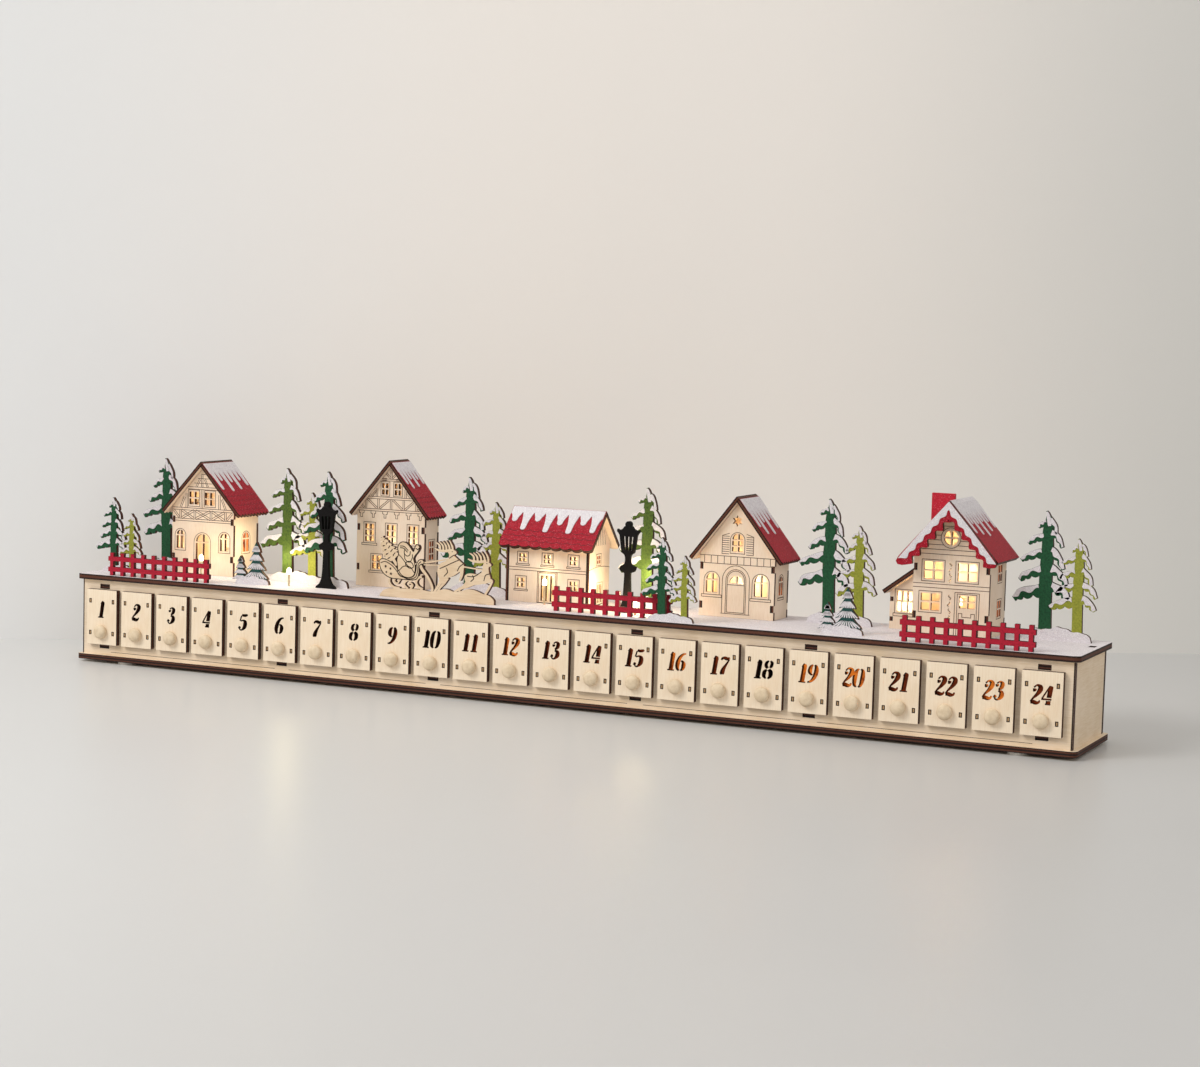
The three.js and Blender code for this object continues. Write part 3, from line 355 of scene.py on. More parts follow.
# Right, up and out of a board that looks to the right: y, z, x
def rightPlane(x, y, z):
    return asMatrix((0, 1, 0), (0, 0, 1), (1, 0, 0), (x, y, z))


# Right, up and out of a board that looks to the left: -y, z, -x
def leftPlane(x, y, z):
    return asMatrix((0, -1, 0), (0, 0, 1), (-1, 0, 0), (x, y, z))


# Right, up and out of a board that looks upwards: x, y, z
def topPlane(x, y, z):
    return asMatrix((1, 0, 0), (0, 1, 0), (0, 0, 1), (x, y, z))


# Points times the matrix's axes, moved to its origin
def placed(matrix, points):
    return points @ matrix[:3, :3].T + matrix[:3, 3]


# One mesh from several solids, each given as points in its own axes, faces, rim flags, matrix and
# the faces' materials
def addPiece(name, body, solids, materials, bevel=0.0, smooth=False, replaces=()):
    points, boards, faces, rims, kinds = [], [], [], [], []
    start = 0
    for solid in solids:
        own, loops, rim, matrix = solid[:4]
        kind = solid[4] if len(solid) > 4 else 0
        points.append(placed(matrix, own))
        boards.append(own)
        faces += [[index + start for index in loop] for loop in loops]
        rims.append(rim)
        kinds.append(np.broadcast_to(kind, len(loops)).astype(np.int32))
        start += len(own)
    points = np.concatenate(points) * mm
    mesh = bpy.data.meshes.new(name)
    mesh.from_pydata(points.tolist(), [], faces)
    mesh.attributes.new("board", "FLOAT_VECTOR", "POINT").data.foreach_set(
        "vector", np.concatenate(boards).astype(np.float32).ravel())
    mesh.attributes.new("rim", "FLOAT", "FACE").data.foreach_set(
        "value", np.concatenate(rims).astype(np.float32))
    for material in materials:
        mesh.materials.append(material)
    mesh.polygons.foreach_set("material_index", np.concatenate(kinds))
    mesh.polygons.foreach_set("use_smooth", np.full(len(mesh.polygons), smooth))
    mesh.update()
    piece = bpy.data.objects.new(name, mesh)
    bpy.context.scene.collection.objects.link(piece)
    if bevel:
        modifier = piece.modifiers.new("bevel", "BEVEL")
        modifier.width = bevel * mm
        modifier.segments = 1
        modifier.limit_method = "ANGLE"
        modifier.angle_limit = math.radians(35)
    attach(piece, body)
    if replaces:
        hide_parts(*replaces)
    return piece


# Triangles of the union of the outers without the holes, from a constrained triangulation of all rings
def filled(outers, holes):
    rings = [np.asarray(ring, float) for ring in [*outers, *holes]]
    turned = []
    for ring in rings:
        x, y = ring[:, 0], ring[:, 1]
        area = (x * np.roll(y, -1) - np.roll(x, -1) * y).sum()
        turned.append(ring if area > 0 else ring[::-1])
    starts = np.cumsum([0] + [len(ring) for ring in turned])
    loops = [list(range(a, b)) for a, b in zip(starts[:-1], starts[1:])]
    points = [Vector(point) for point in np.concatenate(turned)]
    found, _, triangles, _, _, owners = delaunay_2d_cdt(points, [], loops, 1, 1e-4, True)
    count = len(outers)
    kept = [triangle for triangle, ids in zip(triangles, owners)
            if any(i < count for i in ids) and not any(i >= count for i in ids)]
    return np.array([tuple(point) for point in found]), np.array(kept)


# A flat board: the outline filled on both faces, from low to low + thick, with a wall along each free
# edge; kind gives the materials of its upper face, its under face and its edges
def cutBoard(outers, holes, thick, matrix, kind=0, low=0.0):
    flat, triangles = filled(outers, holes)
    count = len(flat)
    edges = np.concatenate([triangles[:, [0, 1]], triangles[:, [1, 2]], triangles[:, [2, 0]]])
    codes = edges[:, 0] * count + edges[:, 1]
    free = edges[~np.isin(codes, edges[:, 1] * count + edges[:, 0])]
    bottom = np.column_stack([flat, np.full(count, low)])
    top = np.column_stack([flat, np.full(count, low + thick)])
    walls = np.column_stack([free[:, 0], free[:, 1], free[:, 1] + count, free[:, 0] + count])
    faces = (triangles[:, ::-1]).tolist() + (triangles + count).tolist() + walls.tolist()
    rim = np.concatenate([np.zeros(2 * len(triangles)), np.ones(len(walls))])
    upper, under, side = kind if isinstance(kind, tuple) else (kind, kind, kind)
    kinds = np.repeat([under, upper, side], [len(triangles), len(triangles), len(walls)])
    return np.concatenate([bottom, top]), faces, rim, matrix, kinds


# The four corners, turning left
def rectangle(x0, x1, y0, y1):
    return np.array([[x0, y0], [x1, y0], [x1, y1], [x0, y1]], float)


# Centre plus radius times (cos, sin), with the angle running evenly from start to end
def arc(cx, cy, radius, start, end, steps):
    angle = np.linspace(start, end, steps + 1)
    return np.column_stack([cx + radius * np.cos(angle), cy + radius * np.sin(angle)])


# A quarter arc of the radius in each corner, turning left
def roundedRectangle(x0, x1, y0, y1, radius, steps=5):
    quarter = math.pi / 2
    corners = [(x1 - radius, y0 + radius, -1), (x1 - radius, y1 - radius, 0),
               (x0 + radius, y1 - radius, 1), (x0 + radius, y0 + radius, 2)]
    return np.concatenate([arc(x, y, radius, turn * quarter, (turn + 1) * quarter, steps)
                           for x, y, turn in corners])


# Catmull-Rom curve through the points, closed or open, with steps between each two
def spline(points, steps=6, closed=True):
    points = np.asarray(points, float)
    if closed:
        before, start, end, after = (np.roll(points, shift, 0) for shift in (1, 0, -1, -2))
    else:
        padded = np.concatenate([2 * points[:1] - points[1:2], points, 2 * points[-1:] - points[-2:-1]])
        before, start, end, after = padded[:-3], padded[1:-2], padded[2:-1], padded[3:]
    t = (np.arange(steps) / steps)[None, :, None]
    a, b, c, d = (part[:, None, :] for part in (before, start, end, after))
    bend, twist = 2 * a - 5 * b + 4 * c - d, 3 * b - a - 3 * c + d
    curve = 0.5 * (2 * b + (c - a) * t + bend * t ** 2 + twist * t ** 3)
    curve = curve.reshape(-1, points.shape[1])
    return curve if closed else np.concatenate([curve, points[-1:]])


# Outline of a band round a centre line whose points are (x, y, half width)
def band(line, smooth=0):
    line = np.asarray(line, float)
    if smooth:
        line = spline(line, smooth, closed=False)
    ahead = np.gradient(line[:, :2], axis=0)
    ahead /= np.maximum(np.linalg.norm(ahead, axis=1, keepdims=True), 1e-9)
    side = np.column_stack([-ahead[:, 1], ahead[:, 0]]) * np.maximum(line[:, 2:3], 0.02)
    return np.concatenate([line[:, :2] - side, (line[:, :2] + side)[::-1]])


# Engraved lines as thin strips that stand a hair proud of the board's face and reach a little into it;
# each runs on past both its ends by a share of its width
def strips(lines, width, matrix, proud=0.06, sunk=0.1, overrun=0.4):
    solids = []
    faces = [[3, 2, 1, 0], [4, 5, 6, 7], [0, 1, 5, 4], [1, 2, 6, 5], [2, 3, 7, 6], [3, 0, 4, 7]]
    for line in lines:
        line = np.asarray(line, float)
        for start, end in zip(line[:-1], line[1:]):
            ahead = (end - start) / max(np.linalg.norm(end - start), 1e-9)
            side = np.array([-ahead[1], ahead[0]]) * width / 2
            start, end = start - ahead * width * overrun, end + ahead * width * overrun
            ring = np.array([start - side, end - side, end + side, start + side])
            own = np.concatenate([np.column_stack([ring, np.full(4, level)]) for level in (-sunk, proud)])
            solids.append((own, faces, np.zeros(6), matrix))
    return solids


# The ring with its first point again at the end
def ringLine(ring):
    ring = np.asarray(ring, float)
    return np.concatenate([ring, ring[:1]])


# Solid turned about its own third axis: rings of (radius, height), capped at both ends
def turned(profile, sides, matrix, kind=0):
    profile = np.asarray(profile, float)
    angle = np.arange(sides) * 2 * math.pi / sides
    own = np.stack([np.outer(profile[:, 0], np.cos(angle)), np.outer(profile[:, 0], np.sin(angle)),
                    np.repeat(profile[:, 1:2], sides, 1)], 2).reshape(-1, 3)
    faces = [list(range(sides))[::-1], list(range((len(profile) - 1) * sides, len(profile) * sides))]
    for ring in range(len(profile) - 1):
        low, high = ring * sides, (ring + 1) * sides
        pairs = [(side, (side + 1) % sides) for side in range(sides)]
        faces += [[low + here, low + there, high + there, high + here] for here, there in pairs]
    return own, faces, np.zeros(len(faces)), matrix, kind


# The same solid with its edges finished as its faces are
def noRim(solid):
    return (solid[0], solid[1], np.zeros(len(solid[1])), *solid[3:])


# Case

caseLook = {"cornerRadius": 4, "overhang": 3.5, "padTop": 1.9, "bulbReach": 3, "bulbTall": 3.4}
boardHalf = panelHigh[0] + caseLook["overhang"]
alongX, alongY = (0.05, 1.0, 1.0), (1.0, 0.05, 1.0)
# Each board: the axis that it is thin along, how its grain is stretched, and where its layers start
caseBoards = {
    "base_board": (2, alongX, panelLow[2] - ply), "front_panel": (1, alongX, caseFront),
    "back_panel": (1, alongX, caseBack - ply), "left_end_panel": (0, alongY, -boardHalf),
    "right_end_panel": (0, alongY, boardHalf), "drawer_rack": (2, alongX, caseFront),
}


# A CAD node's mesh with the given finishes in place of its own
def refinished(nodeName, *materials):
    mesh = nodes[nodeName].data
    mesh.materials.clear()
    for material in materials:
        mesh.materials.append(material)
    return mesh


# Bare plywood on the case's boards, black plastic on the battery parts
def dressBoards():
    for nodeName, (thin, along, low) in caseBoards.items():
        refinished(nodeName, cadPlyMaterial(nodeName, wood, woodStreak, thin, along, low))
    for nodeName in ("battery_case", "battery_door", "power_switch"):
        refinished(nodeName, blackPlastic)


dressBoards()

# Bulb places in the village: x, distance behind the deck's middle, height of the tip
bulbs = [(-301.7, 23, 22), (-290.6, -12, 16), (-211, -17, 12), (-147.8, 30, 22), (-10, -4.5, 17),
         (-13, 18.5, 20), (67, -21, 8.5), (129.4, 20.5, 22), (246, 30, 10), (281.7, 22, 22)]


# The bulbs on top of the stems glow, that is faces near a bulb's axis and high enough; the rest is wire
def dressLights():
    mesh = refinished("light_string", wireCoat, ledGlow)
    centres = np.array([tuple(polygon.center) for polygon in mesh.polygons]) / mm
    spots = np.array(bulbs)
    gap = np.hypot(centres[:, None, 0] - spots[:, 0], centres[:, None, 1] - deckCentre - spots[:, 1])
    tips = deckTop + spots[gap.argmin(1), 2]
    lit = (gap.min(1) < caseLook["bulbReach"]) & (centres[:, 2] > tips - caseLook["bulbTall"])
    mesh.polygons.foreach_set("material_index", lit.astype(np.int32))


dressLights()


# White foam pads under the corners of the base board
def dressPads():
    mesh = nodes["base_board"].data
    mesh.materials.append(padFoam)
    heights = np.array([polygon.center[2] for polygon in mesh.polygons]) / mm
    mesh.polygons.foreach_set("material_index", (heights < caseLook["padTop"]).astype(np.int32))


dressPads()


drawerCount, drawerPitch = 24, 31
jointLook = {"tabDrawers": (1, 6, 10, 15, 19, 24), "tabClear": 6, "footHeight": 2.3, "footLine": 0.3,
             "cornerLine": 0.9, "cornerInset": 0.5, "endClear": 0.4}


# The drawers stand one pitch apart, centred on x = 0
def drawerMiddle(number):
    return (number - (drawerCount + 1) / 2) * drawerPitch


# Dark joint lines: along the foot of the front panel and down the panels' corners
def dressJoints():
    look = jointLook
    tabs = [drawerMiddle(number) for number in look["tabDrawers"]]
    clear, level = look["tabClear"], look["footHeight"]
    foot = [np.array([[a + clear, level], [b - clear, level]]) for a, b in zip(tabs[:-1], tabs[1:])]
    side = panelHigh[0] - look["cornerInset"]
    back = caseBack - look["cornerInset"]
    low, high = look["endClear"], panelHigh[2] - panelLow[2] - look["endClear"]
    corners = [np.array([[x, low], [x, high]]) for x in (-side, side)]
    front = frontPlane(0, caseFront, panelLow[2])
    marks = strips(foot, look["footLine"], front) + strips(corners, look["cornerLine"], front)
    marks += strips([np.array([[back, low], [back, high]])], look["cornerLine"],
                    rightPlane(panelHigh[0], 0, panelLow[2]))
    addPiece("caseJoints", "case", marks, [jointLine])


dressJoints()
print("case boards done")


# Drawers

drawerLook = {
    "width": 26.5, "height": 41, "ply": 4, "low": panelLow[2] + 8,
    "trayWidth": 22.5, "trayHeight": 36, "trayPly": 2.3, "trayLength": 44, "trayLift": 0.3,
    "digitHeight": 12.2, "digitTop": 8.6, "digitLean": 0.16, "digitGap": 0.5,
    "digitStretch": 1.12, "digitBold": (1.2, 0.016),
    "mortiseWidth": 2.2, "mortiseHeight": 3.3, "mortiseGap": 0.6, "mortiseInset": 8.6, "tabSunk": 0.12,
    "glowPly": 0.3, "glowClear": 0.2, "glowFoot": 0.5, "glowTop": 2, "glowPlace": (0.12, 0.1),
    "amber": (12, 16, 19, 20, 23), "ember": (9, 11, 13, 14, 15, 17, 21, 22, 24),
}

knobLook = {"radius": 5.15, "reach": 5.12, "height": 9.7, "middle": 0.36, "footAngle": -0.55, "footDrop": 1.9,
            "tipAngle": math.pi / 2 - 0.04, "sidePower": 0.8, "frontPower": 0.85, "steps": 14, "facets": 28}

# Strokes of each figure on a field one unit high: (x, y, half width) along each stroke
digitStrokes = {
    "0": [[(0.2, 0.985, 0.02), (0.09, 0.86, 0.06), (0.055, 0.5, 0.085), (0.09, 0.14, 0.06),
           (0.2, 0.015, 0.02)],
          [(0.29, 0.985, 0.02), (0.4, 0.86, 0.06), (0.435, 0.5, 0.085), (0.4, 0.14, 0.06),
           (0.29, 0.015, 0.02)]],
    "1": [[(0.24, 0.03, 0.085), (0.24, 0.5, 0.085), (0.24, 0.9, 0.085), (0.27, 0.99, 0.05)],
          [(0.06, 0.018, 0.02), (0.42, 0.018, 0.02)], [(0.24, 0.93, 0.05), (0.1, 0.84, 0.016)]],
    "2": [[(0.03, 0.7, 0.05), (0.1, 0.72, 0.07), (0.12, 0.79, 0.05)],
          [(0.06, 0.84, 0.02), (0.18, 0.97, 0.03), (0.34, 0.9, 0.075), (0.36, 0.72, 0.09), (0.25, 0.48, 0.06),
           (0.1, 0.27, 0.03), (0.03, 0.1, 0.03)],
          [(0.02, 0.06, 0.05), (0.14, 0.09, 0.075), (0.28, 0.05, 0.07), (0.4, 0.09, 0.04),
           (0.43, 0.2, 0.015)]],
    "3": [[(0.03, 0.76, 0.04), (0.1, 0.79, 0.06), (0.1, 0.84, 0.04)],
          [(0.08, 0.88, 0.02), (0.2, 0.975, 0.025), (0.33, 0.88, 0.07), (0.32, 0.68, 0.07),
           (0.2, 0.555, 0.02)],
          [(0.2, 0.5, 0.02), (0.36, 0.42, 0.07), (0.38, 0.2, 0.085), (0.22, 0.025, 0.025), (0.08, 0.1, 0.02)],
          [(0.02, 0.2, 0.04), (0.09, 0.18, 0.06), (0.12, 0.12, 0.03)]],
    "4": [[(0.25, 0.9, 0.018), (0.02, 0.31, 0.022)], [(-0.01, 0.275, 0.026), (0.46, 0.275, 0.026)],
          [(0.34, 0.98, 0.05), (0.33, 0.88, 0.08), (0.33, 0.36, 0.08)],
          [(0.33, 0.2, 0.08), (0.33, 0.05, 0.08)], [(0.2, 0.018, 0.018), (0.46, 0.018, 0.018)]],
    "5": [[(0.12, 0.93, 0.04), (0.26, 0.9, 0.055), (0.4, 0.93, 0.055), (0.46, 0.985, 0.02)],
          [(0.1, 0.88, 0.02), (0.06, 0.56, 0.02)],
          [(0.1, 0.56, 0.02), (0.25, 0.61, 0.03), (0.38, 0.5, 0.08), (0.38, 0.22, 0.085),
           (0.22, 0.025, 0.025), (0.09, 0.08, 0.02)],
          [(0.01, 0.18, 0.04), (0.08, 0.16, 0.06), (0.11, 0.1, 0.03)]],
    "6": [[(0.43, 0.97, 0.018), (0.26, 0.9, 0.045), (0.12, 0.68, 0.075), (0.07, 0.36, 0.085),
           (0.11, 0.12, 0.06), (0.2, 0.015, 0.022)],
          [(0.28, 0.015, 0.022), (0.38, 0.14, 0.065), (0.39, 0.38, 0.08), (0.3, 0.54, 0.03),
           (0.22, 0.53, 0.02)]],
    "7": [[(0.05, 0.8, 0.018), (0.08, 0.9, 0.04), (0.2, 0.93, 0.06), (0.33, 0.89, 0.06), (0.45, 0.95, 0.035)],
          [(0.44, 0.86, 0.02), (0.34, 0.62, 0.035), (0.23, 0.36, 0.07), (0.19, 0.14, 0.09),
           (0.2, 0.02, 0.07)]],
    "8": [[(0.2, 0.985, 0.02), (0.1, 0.88, 0.055), (0.1, 0.7, 0.06), (0.2, 0.58, 0.045)],
          [(0.28, 0.985, 0.02), (0.37, 0.88, 0.055), (0.36, 0.7, 0.055), (0.29, 0.62, 0.03)],
          [(0.17, 0.5, 0.03), (0.07, 0.38, 0.07), (0.07, 0.16, 0.065), (0.19, 0.015, 0.02)],
          [(0.26, 0.52, 0.05), (0.38, 0.38, 0.08), (0.39, 0.16, 0.07), (0.28, 0.015, 0.02)]],
}
digitStrokes["9"] = [[(0.46 - x, 1 - y, half) for x, y, half in stroke] for stroke in digitStrokes["6"]]
digitWidth = {"1": 0.44}
digitUsual = 0.47


# Rings of a number in the plate's own millimetres, centred on x = 0, leaning to the right
def numberRings(number, top):
    look = drawerLook
    height = look["digitHeight"]
    swell, extra = look["digitBold"]
    widths = [digitWidth.get(digit, digitUsual) * height * look["digitStretch"] for digit in str(number)]
    start = -(sum(widths) + look["digitGap"] * (len(widths) - 1)) / 2
    rings = []
    for digit, width in zip(str(number), widths):
        for stroke in digitStrokes[digit]:
            bold = [(x, y, half * swell + extra) for x, y, half in stroke]
            ring = band(bold, 5 if len(stroke) > 2 else 0) * height
            ring[:, 0] *= look["digitStretch"]
            ring[:, 0] += start + look["digitLean"] * (ring[:, 1] - height / 2)
            ring[:, 1] += top - height
            rings.append(ring)
        start += width + look["digitGap"]
    return rings


# Flattened ball on a small foot. The radius goes as cos(angle) to a power and the height, from the ball's
# middle on, as sin(angle) to another; below the middle the foot drops with sin(angle)
def knobProfile():
    look = knobLook
    angle = np.linspace(look["footAngle"], look["tipAngle"], look["steps"])
    middle = look["reach"] * look["middle"]
    radius = look["radius"] * np.cos(angle) ** look["sidePower"]
    front = middle + (look["reach"] - middle) * np.clip(np.sin(angle), 0, 1) ** look["frontPower"]
    height = np.where(angle < 0, middle + middle * np.sin(angle) * look["footDrop"], front)
    return np.column_stack([radius, height])


# Two sides, a back and a floor of a drawer's tray, as plain boards
def traySolids(x):
    look = drawerLook
    half, wall, low = look["trayWidth"] / 2, look["trayPly"], look["low"] + look["trayLift"]
    length = look["trayLength"]
    side = rectangle(0, length, 0, look["trayHeight"])
    across = rectangle(-half + wall, half - wall, 0, look["trayHeight"])
    floor = rectangle(-half + wall, half - wall, 0, length - wall)
    return [
        cutBoard([side], [], wall, rightPlane(x + half - wall, caseFront, low)),
        cutBoard([side], [], wall, rightPlane(x - half, caseFront, low)),
        cutBoard([across], [], wall, frontPlane(x, caseFront + length, low)),
        cutBoard([floor], [], wall, topPlane(x, caseFront, low)),
    ]


# Face board with its number cut through, a tray, a knob, and warm light behind some of the numbers
def makeDrawer(number):
    look = drawerLook
    node = f"drawer_{number:02d}"
    x = drawerMiddle(number)
    plane = frontPlane(x, caseFront, look["low"])
    half = look["width"] / 2
    mortises, tabs = [], []
    for side in (-1, 1):
        outer = look["trayWidth"] / 2
        middle = side * (outer - look["trayPly"] / 2)
        for level in (look["mortiseInset"], look["height"] - look["mortiseInset"]):
            w, h = look["mortiseWidth"] / 2, look["mortiseHeight"] / 2
            mortises.append(rectangle(middle - w, middle + w, level - h, level + h))
            w, h = w - look["mortiseGap"], h - look["mortiseGap"]
            tab = rectangle(middle - w, middle + w, level - h, level + h)
            tabs.append(cutBoard([tab], [], look["ply"] - look["tabSunk"], plane, 1))
    numberHoles = numberRings(number, look["height"] - look["digitTop"])
    plate = cutBoard([rectangle(-half, half, 0, look["height"])], mortises + numberHoles, look["ply"], plane)
    addPiece(f"drawerFront_{number:02d}", node, [plate, *tabs], [drawerWood, innerWood], 0.1,
             replaces=[node])
    lit = number in look["amber"] or number in look["ember"]
    glow = amberGlow if number in look["amber"] else emberGlow
    tray = traySolids(x)
    if lit:
        inner = look["trayWidth"] / 2 - look["trayPly"] - look["glowClear"]
        pane = rectangle(-inner, inner, look["trayPly"] + look["glowFoot"],
                         look["trayHeight"] - look["glowTop"])
        nearest, spread = look["glowPlace"]
        back = caseFront + look["trayLength"] * (nearest + spread * rng.random())
        place = frontPlane(x, back, look["low"] + look["trayLift"])
        tray.append(cutBoard([pane], [], look["glowPly"], place, 1))
    addPiece(f"drawerTray_{number:02d}", node, tray, [innerWood, glow], 0.08)
    knob = turned(knobProfile(), knobLook["facets"],
                  frontPlane(x, caseFront - look["ply"], look["low"] + knobLook["height"]))
    addPiece(f"drawerKnob_{number:02d}", node, [knob], [knobWood], smooth=True)


for number in range(1, drawerCount + 1):
    makeDrawer(number)
print("drawers done")


# Deck

deckLook = {"tabHalf": 2.2, "tabFront": 6, "tabBack": 14.4, "tabSunk": 1.1, "tabShrink": 0.999,
            "cornerSteps": 8}


# Deck board under sprayed snow, with the end panels' tabs sunk in two slots
def makeDeck():
    look = deckLook
    half = boardHalf
    front, back = caseFront - caseLook["overhang"], caseBack + caseLook["overhang"]
    outline = roundedRectangle(-half, half, front, back, caseLook["cornerRadius"], look["cornerSteps"])
    slots = []
    for side in (-1, 1):
        x = side * (panelHigh[0] - ply / 2)
        slots.append(rectangle(x - look["tabHalf"], x + look["tabHalf"], deckCentre + look["tabFront"],
                               deckCentre + look["tabBack"]))
    plane = topPlane(0, 0, deckUnder)
    deck = cutBoard([outline], slots, ply, plane, (0, 1, 1))
    plugs = [cutBoard([slot * look["tabShrink"]], [], ply - look["tabSunk"], plane, 1) for slot in slots]
    addPiece("deckPlate", "case", [deck, *plugs], [deckSnow, caseWood], 0.15, replaces=["deck_board"])


makeDeck()
print("deck done")


# Houses

# A plane of the given kind, with its origin counted from the deck's middle and top
def villagePlane(kind, x, y, z=0.0):
    return kind(x, deckCentre + y, deckTop + z)


# Panes of a window with thin glazing bars: rings of each pane
def panes(at, sill, width, height, columns=2, rows=2, bar=0.95):
    w = (width - bar * (columns - 1)) / columns
    h = (height - bar * (rows - 1)) / rows
    return [rectangle(at - width / 2 + c * (w + bar), at - width / 2 + c * (w + bar) + w,
                      sill + r * (h + bar), sill + r * (h + bar) + h)
            for c in range(columns) for r in range(rows)]


# Half-round head over a window, split by the middle bar
def headPanes(at, spring, radius, bar=0.95):
    turn = math.acos(bar / 2 / radius)
    right = np.concatenate([[[at + bar / 2, spring]], arc(at, spring, radius, 0, turn, 8)])
    left = np.concatenate([[[at - bar / 2, spring]], arc(at, spring, radius, math.pi, math.pi - turn, 8)])
    return [right, left]


# Panes of a window with a half-round head
def archPanes(at, sill, width, height, rows=1, bar=0.95):
    radius = width / 2
    spring = sill + height - radius
    lower = panes(at, sill, width, spring - bar / 2 - sill, 2, rows, bar)
    return lower + headPanes(at, spring + bar / 2, radius, bar)


# Line round a window with a half-round head, or open at its foot round a door
def archLine(at, sill, width, height, grow=1.5, closed=True):
    radius = width / 2 + grow
    spring = sill + height - width / 2
    bow = arc(at, spring, radius, 0, math.pi, 14)
    line = np.concatenate([[[at + radius, sill - (grow if closed else 0)]], bow,
                           [[at - radius, sill - (grow if closed else 0)]]])
    return ringLine(line) if closed else line


# Rectangle drawn as a closed line
def boxLine(x0, x1, z0, z1):
    return ringLine(rectangle(x0, x1, z0, z1))


# Timber beam drawn as its two long edges
def beam(x0, z0, x1, z1, width=1.5):
    ahead = np.array([x1 - x0, z1 - z0]) / math.hypot(x1 - x0, z1 - z0)
    side = np.array([-ahead[1], ahead[0]]) * width / 2
    start, end = np.array([x0, z0]), np.array([x1, z1])
    return [np.array([start - side, end - side]), np.array([start + side, end + side])]


# Six-pointed star: every second point at half the radius
def starRing(at, middle, radius):
    turn = math.pi / 2 + np.arange(12) * math.pi / 6
    size = np.where(np.arange(12) % 2, radius * 0.5, radius)
    return np.column_stack([at + size * np.cos(turn), middle + size * np.sin(turn)])


# Timber frames engraved on two gables. Each beam is (x0, z0, x1, z1, width); the paired ones stand on both
# sides of the middle. Boxes are the windows' frames; slats are as long as (80 - z) * 0.9 - 2.4 each way
timberLook = {
    "house_1": {
        "boxes": ((-13, -3.2, 51, 63.4), (1.2, 11, 51, 63.4)), "slats": (68.6, 72.2, 75.4), "brackets": 0,
        "single": ((-27, 40.6, 27, 40.6, 1.7), (-27, 48.8, 27, 48.8, 1.7), (-6.4, 41.8, 6.4, 47.8, 1.5),
                   (-6.4, 47.8, 6.4, 41.8, 1.5), (-13.4, 64.8, 13.4, 64.8, 1.7), (-1, 50, -1, 64, 1.5),
                   (-1, 66, -1, 74.6, 1.3), (-6, 66, -3, 71.6, 1.2), (4, 66, 1.4, 71.6, 1.2)),
        "paired": ((7.2, 41.6, 7.2, 48, 1.5), (20, 41.6, 20, 48, 1.5), (8.2, 41.8, 19, 47.8, 1.5),
                   (8.2, 47.8, 19, 41.8, 1.5), (21, 42, 26, 47.4, 1.3), (14.6, 49.8, 14.6, 60.5, 1.5),
                   (20, 49.8, 16.6, 57.5, 1.3)),
    },
    "house_2": {
        "boxes": ((-8.7, -1.3, 66.8, 77.2), (1.9, 9.3, 66.8, 77.2)), "slats": (), "brackets": 6,
        "single": ((-28, 56.2, 28, 56.2, 1.5), (-20.4, 65.2, 20.4, 65.2, 1.5), (0, 57.2, 0, 64.2, 1.3),
                   (-8, 78.6, 8, 78.6, 1.3), (0, 79.6, 0, 86, 1.2)),
        "paired": ((10.6, 57.2, 10.6, 64.2, 1.3), (21, 57.2, 21, 64.2, 1.3), (11.8, 57.6, 19.6, 64, 1.2),
                   (9.4, 57.6, 1.6, 64, 1.2), (22.4, 57.6, 25.4, 60.4, 1.1), (12, 66.2, 12, 72, 1.3),
                   (16.4, 66.2, 12.8, 70, 1.1), (4, 79, 7.4, 79, 1.1), (0.8, 80, 4.4, 83.4, 1.1)),
    },
}


# Both edges of every beam, the windows' frames, the slats, and the brackets in a row under the eaves
def timberGable(name):
    look = timberLook[name]
    lines = [boxLine(*box) for box in look["boxes"]]
    for timber in look["single"]:
        lines += beam(*timber)
    for x0, z0, x1, z1, width in look["paired"]:
        lines += beam(-x0, z0, -x1, z1, width) + beam(x0, z0, x1, z1, width)
    for z in look["slats"]:
        reach = (80 - z) * 0.9 - 2.4
        lines.append(np.array([[-reach, z], [reach, z]]))
    half = [(0.8, 50.6), (0.8, 53.4), (2, 53.6), (2, 55.4)]
    bracket = np.array([(-x, z) for x, z in half[::-1]] + half)
    return lines + [bracket + [x, 0] for x in np.linspace(-24.5, 24.5, look["brackets"])]


# Frame round a window, grown from it on all sides, and a longer ledge under the frame
def windowLines(at, sill, width, height, grow=1.3, ledgeOut=1.4, ledgeTall=1.5):
    half = width / 2 + grow
    frame = boxLine(at - half, at + half, sill - grow, sill + height + grow)
    ledge = boxLine(at - half - ledgeOut, at + half + ledgeOut, sill - grow - ledgeTall, sill - grow)
    return [frame, ledge]


